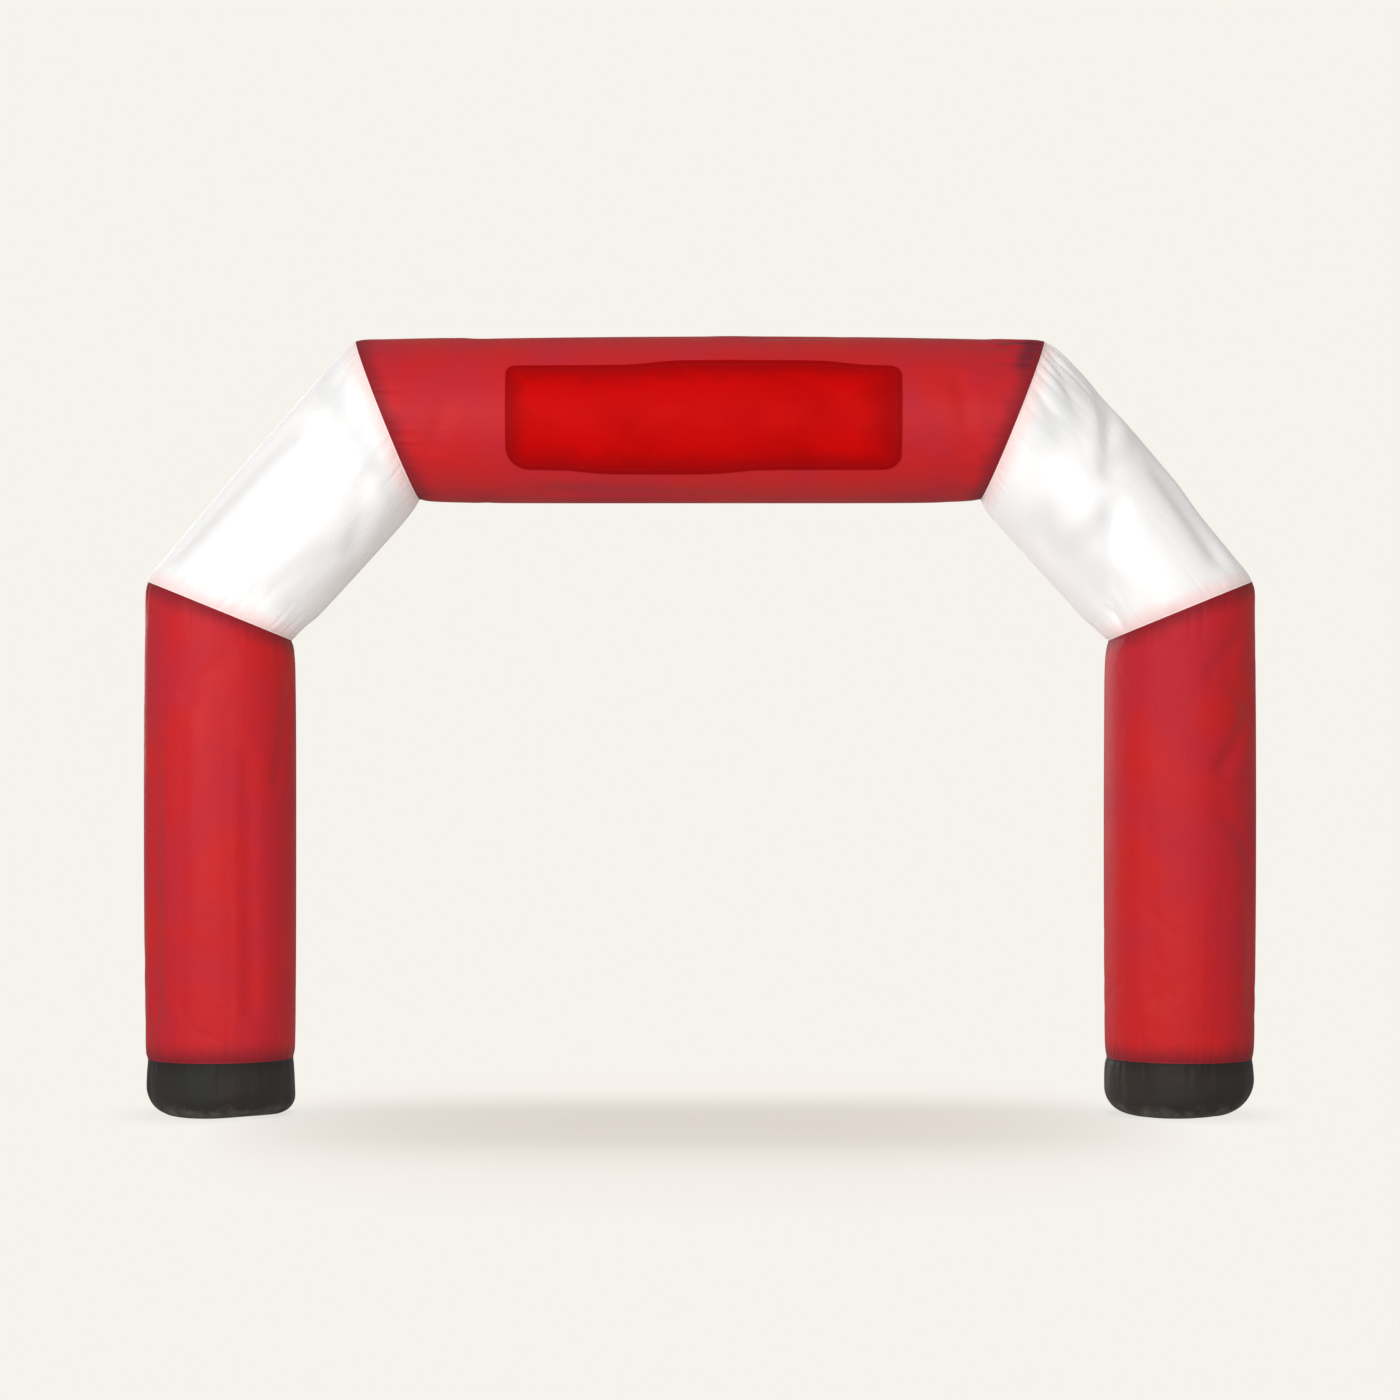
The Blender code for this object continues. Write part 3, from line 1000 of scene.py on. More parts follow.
# Painted shade at the beam's bunched upper right end.
BEAM_SHADE_STROKES = (
    Crease(72, 3.50, 34, 3.40, 0.050, -1.4),
    Crease(66, 3.44, 60, 3.30, 0.026, -0.8),
)
BEAM_CREASES = (
    Crease(-24, 0.28, 26, 0.40, 0.052, 0.014),
    Crease(20, 3.06, -28, 3.12, 0.052, 0.016),
    Crease(80, 0.50, 75, 1.70, 0.055, 0.013),
    Crease(72, 2.00, 78, 3.20, 0.055, 0.013),
    Crease(-66, 0.90, -72, 1.80, 0.058, 0.012),
    Crease(150, 0.60, 140, 2.00, 0.056, 0.021),
    Crease(-146, 1.50, -156, 2.90, 0.056, 0.020),
)

# Where the seam at the beam's upper right is bunched up: on the beam's cloth and the shoulder's.
# In each row: the pucker's angle, reach, width and depth.
BEAM_PINCHES = (
    Pucker(84, 0.20, 0.016, 0.014),
    Pucker(73, 0.26, 0.014, 0.020),
    Pucker(64, 0.16, 0.012, 0.017),
    Pucker(55, 0.32, 0.015, 0.019),
    Pucker(45, 0.14, 0.012, 0.014),
    Pucker(37, 0.24, 0.013, 0.014),
    Pucker(27, 0.14, 0.012, 0.008),
)
SHOULDER_PINCHES = (
    Pucker(80, 0.18, 0.014, 0.009),
    Pucker(69, 0.16, 0.012, 0.010),
    Pucker(59, 0.34, 0.014, 0.015),
    Pucker(50, 0.20, 0.011, 0.014),
    Pucker(41, 0.28, 0.013, 0.014),
    Pucker(31, 0.18, 0.012, 0.012),
    Pucker(20, 0.24, 0.014, 0.008),
)


@dataclass(frozen=True)
class Wrinkles:
    """Short, fine wrinkles that start near the seams and lie anyhow between them."""

    by_seams: int = 34
    between: int = 16
    reach: float = 0.45
    shortest: float = 0.06
    longest: float = 0.30
    thin: float = 0.012
    wide: float = 0.030
    shallow: float = 0.0012
    deep: float = 0.0042
    seam_pull: float = 1.6
    inside: tuple[float, float] = (0.1, 0.9)
    lean: float = 22.0

    def draw(self, length: float, seed: int) -> list[Crease]:
        """The wrinkles of one tube.

        Args:
            length: The tube's length between its seams.
            seed: Where the random draws start.

        Returns:
            The wrinkles, each one a small crease.
        """
        draws = random.Random(seed)
        made = []
        for number in range(self.by_seams + self.between):
            angle = draws.uniform(-180, 180)
            if number < self.by_seams:
                away = self.reach * draws.random() ** self.seam_pull
                along = away if number % 2 else length - away
            else:
                along = draws.uniform(*self.inside) * length
            run = draws.uniform(self.shortest, self.longest)
            slope = draws.gauss(0, self.lean)
            made.append(
                Crease(
                    from_angle=angle,
                    from_along=along,
                    to_angle=angle + slope,
                    to_along=along + run * (1 if number % 2 else -1),
                    width=draws.uniform(self.thin, self.wide),
                    depth=draws.uniform(self.shallow, self.deep),
                )
            )
        return made


@dataclass(frozen=True)
class Blowing:
    """How Blender's cloth simulation blows a tube up between its sewn rings."""

    frames: int = 20
    quality: int = 5
    pressure: float = 15.0
    mass: float = 0.1
    stiffness: float = 15.0
    shear: float = 5.0
    bending: float = 0.2
    slack: float = 0.20
    slack_reach: float = 0.10
    cap: float = 0.016

    def blow(
        self, piece: bpy.types.Object, held: np.ndarray, from_seam: np.ndarray, away: np.ndarray
    ) -> None:
        """Blows the piece up, and keeps each corner within the cap of where it was.

        The cloth stretches, so what the tube gains in size all round is taken off again.

        Args:
            piece: The cloth, open at its ends.
            held: For each corner, whether it is sewn to the next piece.
            from_seam: How far each corner is from the nearest seam. The cloth has slack there.
            away: The direction straight out of the tube at each corner.
        """
        start = corners_of(piece.data)
        slack = np.exp(-((from_seam / self.slack_reach) ** 2))
        self._group(piece, "held", held.astype(float))
        self._group(piece, "slack", slack)
        cloth = piece.modifiers.new("blowing", "CLOTH")
        settings = cloth.settings
        settings.quality = self.quality
        settings.mass = self.mass
        settings.tension_stiffness = self.stiffness
        settings.compression_stiffness = self.stiffness
        settings.shear_stiffness = self.shear
        settings.bending_stiffness = self.bending
        settings.vertex_group_mass = "held"
        settings.use_pressure = True
        settings.uniform_pressure_force = self.pressure
        settings.shrink_min = 0.0
        settings.shrink_max = -self.slack
        settings.vertex_group_shrink = "slack"
        settings.effector_weights.gravity = 0.0
        cloth.point_cache.frame_start = 1
        cloth.point_cache.frame_end = self.frames
        for number in range(1, self.frames + 1):
            bpy.context.scene.frame_set(number)
        activate(piece)
        bpy.ops.object.modifier_apply(modifier=cloth.name)
        bpy.context.scene.frame_set(1)
        move = corners_of(piece.data) - start
        free = 1 - slack
        gain = np.average((move * away).sum(axis=1), weights=free)
        move -= away * (gain * free)[:, None]
        far = np.linalg.norm(move, axis=1)
        kept = self.cap * np.tanh(far / self.cap) / np.maximum(far, TINY)
        place_corners(piece.data, start + move * kept[:, None])
        piece.vertex_groups.clear()

    def _group(self, piece: bpy.types.Object, name: str, weights: np.ndarray) -> None:
        """Adds a vertex group with these weights, to the nearest hundredth.

        Args:
            piece: The piece that gets it.
            name: The group's name.
            weights: A weight from 0 to 1 for each corner.
        """
        group = piece.vertex_groups.new(name=name)
        percents = np.round(weights * 100).astype(int)
        for percent in np.unique(percents[percents > 0]):
            group.add(np.flatnonzero(percents == percent).tolist(), percent / 100, "REPLACE")


@dataclass(frozen=True)
class SewnEdge:
    """The cloth beside a seam: a groove under the stitches, and puckers across it."""

    stitch_line: float = 0.011
    groove: float = 0.0016
    groove_width: float = 0.006
    puckers: int = 74
    shortest: float = 0.05
    longest: float = 0.20
    narrowest: float = 0.008
    widest: float = 0.017
    shallowest: float = 0.0012
    deepest: float = 0.0052
    rareness: float = 2.2
    scatter: float = 0.45
    felt: float = 2.5

    def draw(self, seed: int) -> list[Pucker]:
        """The puckers of one seam.

        Args:
            seed: Where the random draws start.

        Returns:
            The puckers, scattered round the seam.
        """
        draws = random.Random(seed)
        made = []
        for number in range(self.puckers):
            strong = draws.random() ** self.rareness
            step = number + draws.uniform(-self.scatter, self.scatter)
            made.append(
                Pucker(
                    angle=360 * step / self.puckers - 180,
                    reach=self.shortest + (self.longest - self.shortest) * strong,
                    width=self.narrowest + (self.widest - self.narrowest) * draws.random(),
                    depth=self.shallowest + (self.deepest - self.shallowest) * strong,
                )
            )
        return made

    def press(self, angle: np.ndarray, distance: np.ndarray, puckers: list[Pucker]) -> np.ndarray:
        """How far the sewing moves the cloth outwards.

        Args:
            angle: The places' angles round the tube.
            distance: Their distances from the seam.
            puckers: The puckers across the seam.

        Returns:
            A length for each place.
        """
        moved = -self.groove * np.exp(-(((distance - self.stitch_line) / self.groove_width) ** 2))
        near = distance < self.felt * self.longest
        for pucker in puckers:
            moved[near] += pucker.press(angle[near], distance[near])
        return moved


GATHERING = Gathering()
WRINKLES = Wrinkles()
BLOWING = Blowing()
SEWN_EDGE = SewnEdge()


@dataclass
class Skin:
    """A blown-up cloth that starts as an open cylinder: what tubes and feet have in common."""

    name: str
    node: str
    finish: ClothFinish
    seed: int
    sides: int = 128
    cell: float = 0.024
    crowding: float = 0.60
    fill: float = 0.9
    piece: bpy.types.Object | None = field(default=None, init=False)
    angle: np.ndarray = field(init=False)
    share: np.ndarray = field(init=False)

    def _model(self, rows: int) -> None:
        """Models an open cylinder with this many rows, and reads each corner's angle and share.

        Args:
            rows: The number of rows of faces.
        """
        bpy.ops.object.select_all(action="DESELECT")
        bpy.ops.mesh.primitive_cylinder_add(
            vertices=self.sides, radius=LEG_DIAMETER / 2, depth=1.0, end_fill_type="NOTHING"
        )
        self.piece = bpy.context.object
        self.piece.name = self.piece.data.name = self.name
        cut_rows(self.piece, 2, rows - 1)
        corners = corners_of(self.piece.data)
        self.angle = np.arctan2(corners[:, 1], corners[:, 0])
        self.share = corners[:, 2] + 0.5

    def _face_outwards(self) -> None:
        """Turns the faces so that they point out of the tube."""
        with editing(self.piece, Pick.FACES):
            bpy.ops.mesh.select_all(action="SELECT")
            bpy.ops.mesh.normals_make_consistent(inside=False)

    def _refine(self) -> None:
        """Subdivides the cloth once, and carries each corner's angle and share along."""
        mesh = self.piece.data
        store(mesh, "turn_x", np.cos(self.angle))
        store(mesh, "turn_y", np.sin(self.angle))
        store(mesh, "share", self.share)
        apply_modifier(self.piece, "SUBSURF", levels=1, render_levels=1)
        kept = {}
        for name in ("turn_x", "turn_y", "share"):
            values = np.empty(len(mesh.vertices))
            mesh.attributes[name].data.foreach_get("value", values)
            kept[name] = values
            mesh.attributes.remove(mesh.attributes[name])
        self.angle = np.arctan2(kept["turn_y"], kept["turn_x"])
        self.share = kept["share"]

    def _close(self) -> None:
        """Closes both ends, which are hidden in the seams, and shades the cloth smooth."""
        clear_selection(self.piece.data)
        with editing(self.piece, Pick.EDGES):
            bpy.ops.mesh.select_non_manifold()
            bpy.ops.mesh.fill_holes(sides=0)
        self._face_outwards()
        activate(self.piece)
        bpy.ops.object.shade_smooth_by_angle(angle=SHARP_ANGLE)

    def _hand_in(self) -> None:
        """Puts the piece on its body, in its node's place."""
        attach(self.piece, BODY)
        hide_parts(self.node)
        log.info("%s: %d faces", self.name, len(self.piece.data.polygons))


@dataclass
class Tube(Skin):
    """A tube of cloth, blown up tight between two sewn rings."""

    lower: Seam | None = None
    upper: Seam | None = None
    creases: tuple[Crease, ...] = ()
    pinches: tuple[Pucker, ...] = ()
    shade_strokes: tuple[Crease, ...] = ()
    start: np.ndarray = field(init=False)
    axis: np.ndarray = field(init=False)
    outward: np.ndarray = field(init=False)
    length: float = field(init=False)
    radius: float = field(init=False)
    lower_gathers: list[Gather] = field(init=False)
    upper_gathers: list[Gather] = field(init=False)

    def __post_init__(self) -> None:
        """Works out the tube's axis, radius and gathers."""
        self.start = self.lower.middle
        axis = self.upper.middle - self.start
        self.length = float(np.linalg.norm(axis))
        self.axis = axis / self.length
        outer = self.lower.corners[0] - self.start
        outward = outer - self.axis * outer.dot(self.axis)
        self.outward = outward / np.linalg.norm(outward)
        self.radius = (self.lower.half_depth + self.upper.half_depth) / 2
        self.lower_gathers = GATHERING.draw(self.lower, self.seed + Draws.LOWER_GATHERS)
        self.upper_gathers = GATHERING.draw(self.upper, self.seed + Draws.UPPER_GATHERS)

    def away(self, angle: np.ndarray) -> np.ndarray:
        """The direction straight out of the tube at each angle."""
        return FRONT * np.cos(angle)[:, None] + self.outward * np.sin(angle)[:, None]

    def ends(self, angle: np.ndarray) -> tuple[np.ndarray, np.ndarray]:
        """Where the two rings are along the axis at each angle.

        Args:
            angle: Angles round the tube.

        Returns:
            The lower ring's distances and the upper ring's.
        """
        low = (self.lower.points(angle) - self.start) @ self.axis
        high = (self.upper.points(angle) - self.start) @ self.axis
        return low, high

    def along(self, angle: np.ndarray, share: np.ndarray) -> np.ndarray:
        """The distance along the axis of each share of the way between the rings."""
        low, high = self.ends(angle)
        return low + (high - low) * share

    def rise(self, angle: np.ndarray, share: np.ndarray) -> np.ndarray:
        """How much of its full size the cloth has at each place, from 0 at a seam to 1.

        Args:
            angle: The places' angles round the tube.
            share: Their share of the way from the lower ring to the upper one.

        Returns:
            A share for each place.
        """
        low, high = self.ends(angle)
        along = self.along(angle, share)
        from_low = GATHERING.rise_length(angle, self.lower_gathers)
        from_high = GATHERING.rise_length(angle, self.upper_gathers)
        return (1 - np.exp((low - along) / from_low)) * (1 - np.exp((along - high) / from_high))

    def surface(self, angle: np.ndarray, share: np.ndarray) -> np.ndarray:
        """The cloth's places before it is creased.

        Args:
            angle: The places' angles round the tube.
            share: Their share of the way from the lower ring to the upper one.

        Returns:
            A row of x, y and z for each place.
        """
        line = self.lower.points(angle) * (1 - share)[:, None]
        line += self.upper.points(angle) * share[:, None]
        line += self.axis * (SEAM_CLEARANCE * (1 - 2 * share))[:, None]
        drawn = self.lower.draw_in(angle) * (1 - share) + self.upper.draw_in(angle) * share
        return line + self.away(angle) * (drawn * self.rise(angle, share))[:, None]

    def from_seam(self, angle: np.ndarray, share: np.ndarray) -> np.ndarray:
        """The distance from the nearest seam, along the tube.

        Args:
            angle: The places' angles round the tube.
            share: Their share of the way from the lower ring to the upper one.

        Returns:
            A distance for each place.
        """
        low, high = self.ends(angle)
        along = self.along(angle, share)
        return np.minimum(along - low, high - along)

    def build(self) -> bpy.types.Object:
        """Models the tube, blows it up, creases and sews it, and dresses it.

        Returns:
            The finished piece.
        """
        corners = zip(self.lower.corners, self.upper.corners)
        longest = max(float(np.linalg.norm(high - low)) for low, high in corners)
        self._model(round(longest / self.cell))
        wave = np.sin(math.tau * self.share) / math.tau
        self.share = self.share - self.crowding * wave
        place_corners(self.piece.data, self.surface(self.angle, self.share))
        self._face_outwards()
        distance = self.from_seam(self.angle, self.share)
        BLOWING.blow(self.piece, distance < ON_EDGE, distance, self.away(self.angle))
        self._press_creases()
        self._refine()
        self._sew()
        self._close()
        self._map()
        dress(self.piece, self.finish)
        self._hand_in()
        return self.piece

    def _push_out(self, moved: np.ndarray) -> None:
        """Moves each corner straight out of the tube by its own length."""
        out = self.away(self.angle) * moved[:, None]
        place_corners(self.piece.data, corners_of(self.piece.data) + out)

    def _press_creases(self) -> None:
        """Presses the main creases and the fine wrinkles into the cloth."""
        along = self.along(self.angle, self.share)
        wrinkles = WRINKLES.draw(self.length, self.seed + Draws.WRINKLES)
        moved = sum(
            crease.press(self.angle, along, self.radius) for crease in (*self.creases, *wrinkles)
        )
        self._push_out(moved * self.rise(self.angle, self.share))

    def _sew(self) -> None:
        """Presses the stitch lines and their puckers in beside both seams."""
        low, high = self.ends(self.angle)
        along = self.along(self.angle, self.share)
        lower = SEWN_EDGE.draw(self.seed + Draws.LOWER_PUCKERS)
        upper = SEWN_EDGE.draw(self.seed + Draws.UPPER_PUCKERS)
        moved = SEWN_EDGE.press(self.angle, along - low, lower)
        moved += SEWN_EDGE.press(self.angle, high - along, [*upper, *self.pinches])
        self._push_out(moved)

    def _map(self) -> None:
        """Lays the cloth's map, the distance from the seams and the share of painted shade in strokes
        on the finished mesh.
        """
        along = self.along(self.angle, self.share)
        lay_map(self.piece.data, self.angle * self.radius, along, math.tau * self.radius)
        store(self.piece.data, SEAM_DISTANCE, self.from_seam(self.angle, self.share))
        if self.shade_strokes:
            strokes = sum(stroke.press(self.angle, along, self.radius) for stroke in self.shade_strokes)
            store(self.piece.data, PAINTED_STROKE_SHADE, np.tanh(strokes))


@dataclass(frozen=True)
class EdgeRadius:
    """The radius of a foot's lower edge at an angle in degrees."""

    angle: float
    radius: float


LEFT_FOOT_EDGE = (
    EdgeRadius(-180, 0.12),
    EdgeRadius(-90, 0.10),
    EdgeRadius(-40, 0.17),
    EdgeRadius(10, 0.11),
    EdgeRadius(90, 0.17),
)
RIGHT_FOOT_EDGE = (
    EdgeRadius(-180, 0.13),
    EdgeRadius(-90, 0.14),
    EdgeRadius(-25, 0.10),
    EdgeRadius(40, 0.18),
    EdgeRadius(90, 0.21),
)


@dataclass
class Foot(Skin):
    """The black foot of a leg: a flat sole, a rounded and creased lower edge and a short wall."""

    seam: Seam | None = None
    edges: tuple[EdgeRadius, ...] = ()
    fill: float = 0.8
    rows: int = 26
    creases: int = 44
    crease_widths: tuple[float, float] = (1.6, 4.5)
    crease_middles: tuple[float, float] = (0.10, 0.62)
    crease_reaches: tuple[float, float] = (0.12, 0.30)
    crease_depths: tuple[float, float] = (0.0015, 0.0060)
    crease_ways: tuple[float, ...] = (1, 1, 1, -0.5)
    crease_end: float = 0.08
    gathers: list[Gather] = field(init=False)

    def __post_init__(self) -> None:
        """Draws the gathers of the seam."""
        self.gathers = GATHERING.draw(self.seam, self.seed + Draws.LOWER_GATHERS)

    def edge_radius(self, angle: np.ndarray) -> np.ndarray:
        """The lower edge's radius, which passes softly from one row of the table to the next.

        Args:
            angle: Angles round the foot.

        Returns:
            A radius for each angle.
        """
        rows = [*self.edges, EdgeRadius(self.edges[0].angle + 360, self.edges[0].radius)]
        degrees = np.degrees(angle)
        radius = np.zeros_like(angle)
        for before, after in zip(rows, rows[1:]):
            share = (degrees - before.angle) / (after.angle - before.angle)
            soft = (1 - np.cos(np.pi * np.clip(share, 0, 1))) / 2
            here = (degrees >= before.angle) & (degrees <= after.angle)
            radius[here] = (before.radius + (after.radius - before.radius) * soft)[here]
        return radius

    def surface(self, angle: np.ndarray, share: np.ndarray) -> np.ndarray:
        """The foot's places: round the lower edge first, then up the wall to the seam.

        Args:
            angle: The places' angles round the foot.
            share: Their share of the way from the sole's rim to the seam.

        Returns:
            A row of x, y and z for each place.
        """
        radius = self.edge_radius(angle)
        top = self.seam.outer[1] - SEAM_CLEARANCE
        arc = math.pi / 2 * radius
        way = share * (arc + top - radius)
        turn = np.minimum(way / radius, math.pi / 2)
        inset = radius * (1 - np.sin(turn))
        height = np.where(way < arc, radius * (1 - np.cos(turn)), radius + way - arc)
        height = np.minimum(height, top)
        ring = self.seam.points(angle)
        out = ring - self.seam.middle
        out /= np.linalg.norm(out, axis=1)[:, None]
        rise = 1 - np.exp((height - top) / GATHERING.rise_length(angle, self.gathers))
        places = ring + out * (self.seam.draw_in(angle) * rise - inset)[:, None]
        places += out * self._crumple(angle, share)[:, None]
        places[:, 2] = height
        return places

    def _crumple(self, angle: np.ndarray, share: np.ndarray) -> np.ndarray:
        """How far short, upright creases move the lower edge, where the cloth meets the ground.

        Args:
            angle: The places' angles round the foot.
            share: Their share of the way up to the seam.

        Returns:
            A length for each place.
        """
        draws = random.Random(self.seed + Draws.FOOT_CREASES)
        moved = np.zeros_like(angle)
        for _ in range(self.creases):
            turn = turn_between(draws.uniform(-math.pi, math.pi), angle)
            width = math.radians(draws.uniform(*self.crease_widths))
            middle = draws.uniform(*self.crease_middles)
            reach = draws.uniform(*self.crease_reaches)
            depth = draws.uniform(*self.crease_depths) * draws.choice(self.crease_ways)
            moved -= depth * np.exp(-((turn / width) ** 2) - ((share - middle) / reach) ** 2)
        near_rim = np.minimum(1, share / self.crease_end)
        near_seam = np.minimum(1, (1 - share) / self.crease_end)
        return moved * near_rim * near_seam

    def build(self) -> bpy.types.Object:
        """Models the foot, creases and dresses it.

        Returns:
            The finished piece.
        """
        self._model(self.rows)
        place_corners(self.piece.data, self.surface(self.angle, self.share))
        self._face_outwards()
        self._refine()
        below = self.seam.outer[1] - SEAM_CLEARANCE - corners_of(self.piece.data)[:, 2]
        out = corners_of(self.piece.data) - self.seam.middle
        out[:, 2] = 0
        out /= np.linalg.norm(out, axis=1)[:, None]
        puckers = SEWN_EDGE.draw(self.seed + Draws.LOWER_PUCKERS)
        moved = SEWN_EDGE.press(self.angle, below, puckers)
        places = corners_of(self.piece.data) + out * moved[:, None]
        sole = self.share < ON_EDGE
        places[sole, 2] = 0
        place_corners(self.piece.data, places)
        self._close()
        lay_map(
            self.piece.data, self.angle * LEG_DIAMETER / 2, places[:, 2], math.pi * LEG_DIAMETER
        )
        store(self.piece.data, SEAM_DISTANCE, below)
        dress(self.piece, self.finish)
        self._hand_in()
        return self.piece


# ---------------------------------------------------------------------------------------------
# The banner sheet and the sewing
# ---------------------------------------------------------------------------------------------


@dataclass(frozen=True)
class StitchLine:
    """Points of a sewn line on a cloth, with the cloth's direction out at each."""

    points: np.ndarray
    outs: np.ndarray
    closed: bool


@dataclass
class Stitching:
    """Lock stitches along sewn lines, all of one thread."""

    name: str
    thread: ThreadFinish
    slot: str
    pitch: float = 0.0065
    length: float = 0.0048
    width: float = 0.0012
    height: float = 0.0007
    end_width: float = 0.45
    bow: float = 0.7

    def _model_stitch(self) -> bpy.types.Object:
        """Models one stitch along X: a short round thread whose ends dip into the cloth.

        Returns:
            The stitch, to be copied.
        """
        bpy.ops.object.select_all(action="DESELECT")
        bpy.ops.mesh.primitive_cylinder_add(
            vertices=6, radius=0.5, depth=1.0, end_fill_type="NGON", rotation=(0, math.pi / 2, 0)
        )
        stitch = bpy.context.object
        bpy.ops.object.transform_apply(rotation=True)
        cut_rows(stitch, 0, 2)
        corners = corners_of(stitch.data)
        bow = 1 - (2 * corners[:, 0]) ** 2
        corners[:, 1:] *= (self.end_width + (1 - self.end_width) * bow)[:, None]
        corners[:, 2] += self.bow * (bow - 0.5)
        place_corners(stitch.data, corners * (self.length, self.width, self.width))
        return stitch

    def build(self, lines: list[StitchLine]) -> bpy.types.Object:
        """Sews along the lines.

        Args:
            lines: The sewn lines.

        Returns:
            The finished piece: one mesh with all the stitches.
        """
        stitch = self._model_stitch()
        shape = corners_of(stitch.data)
        faces = [tuple(face.vertices) for face in stitch.data.polygons]
        bpy.data.objects.remove(stitch)
        corners, all_faces = [], []
        for line in lines:
            for middle, ahead, out in self._places(line):
                side = np.cross(out, ahead)
                turned = shape @ np.stack((ahead, side, out)) + middle + out * self.height
                base = len(corners) * len(shape)
                corners.append(turned)
                all_faces += [tuple(base + corner for corner in face) for face in faces]
        mesh = bpy.data.meshes.new(self.name)
        mesh.from_pydata(np.concatenate(corners).tolist(), [], all_faces)
        mesh.shade_smooth()
        piece = bpy.data.objects.new(self.name, mesh)
        bpy.context.scene.collection.objects.link(piece)
        dress(piece, self.thread)
        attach(piece, BODY)
        log.info("%s: %d stitches", self.name, len(corners))
        return piece

    def _places(self, line: StitchLine) -> Iterator[tuple[np.ndarray, np.ndarray, np.ndarray]]:
        """The middle, the direction ahead and the direction out of each stitch of a line.

        Args:
            line: The sewn line.

        Returns:
            The three rows, for one stitch after another.
        """
        points, outs = line.points, line.outs
        if line.closed:
            points = np.concatenate((points, points[:1]))
            outs = np.concatenate((outs, outs[:1]))
        steps = np.linalg.norm(np.diff(points, axis=0), axis=1)
        ways = np.concatenate(([0], np.cumsum(steps)))
        count = int(ways[-1] / self.pitch)
        middles = (np.arange(count) + 0.5) * ways[-1] / count
        for middle in middles:
            row = int(np.clip(np.searchsorted(ways, middle) - 1, 0, len(steps) - 1))
            share = (middle - ways[row]) / steps[row]
            ahead = (points[row + 1] - points[row]) / steps[row]
            out = outs[row] * (1 - share) + outs[row + 1] * share
            out = out - ahead * out.dot(ahead)
            yield points[row] * (1 - share) + points[row + 1] * share, ahead, out / np.linalg.norm(out)


def on_cloth(tree: BVHTree, guesses: np.ndarray) -> tuple[np.ndarray, np.ndarray]:
    """The nearest places on a finished cloth, and the direction out of it there.

    Args:
        tree: The cloth's faces.
        guesses: Places near the cloth, one row each.

    Returns:
        A row for each place, and one for each direction.
    """
    places, outs = [], []
    for guess in guesses:
        place, normal, _, _ = tree.find_nearest(Vector(guess))
        places.append(place)
        outs.append(normal)
    return np.array(places), np.array(outs)


def faces_of(piece: bpy.types.Object) -> BVHTree:
    """The piece's faces, ready to be searched.

    Args:
        piece: A finished piece.

    Returns:
        The search tree.
    """
    mesh = piece.data
    return BVHTree.FromPolygons(
        [vertex.co for vertex in mesh.vertices], [tuple(face.vertices) for face in mesh.polygons]
    )


def seam_lines(tube: Tube, count: int = 360) -> list[StitchLine]:
    """The sewn lines beside a tube's two seams.

    Args:
        tube: The finished tube.
        count: The points of each line.

    Returns:
        The lower line and the upper one.
    """
    tree = faces_of(tube.piece)
    angle = np.linspace(-math.pi, math.pi, count, endpoint=False)
    low, high = tube.ends(angle)
    near = SEWN_EDGE.stitch_line / (high - low)
    lines = []
    for share in (near, 1 - near):
        places, outs = on_cloth(tree, tube.surface(angle, share))
        lines.append(StitchLine(places, outs, closed=True))
    return lines


def foot_lines(foot: Foot, count: int = 360) -> list[StitchLine]:
    """The sewn line below a foot's seam.

    Args:
        foot: The finished foot.
        count: The points of the line.

    Returns:
        The one line, in a list.
    """
    tree = faces_of(foot.piece)
    angle = np.linspace(-math.pi, math.pi, count, endpoint=False)
    guesses = foot.seam.points(angle)
    guesses[:, 2] -= SEWN_EDGE.stitch_line
    places, outs = on_cloth(tree, guesses)
    return [StitchLine(places, outs, closed=True)]


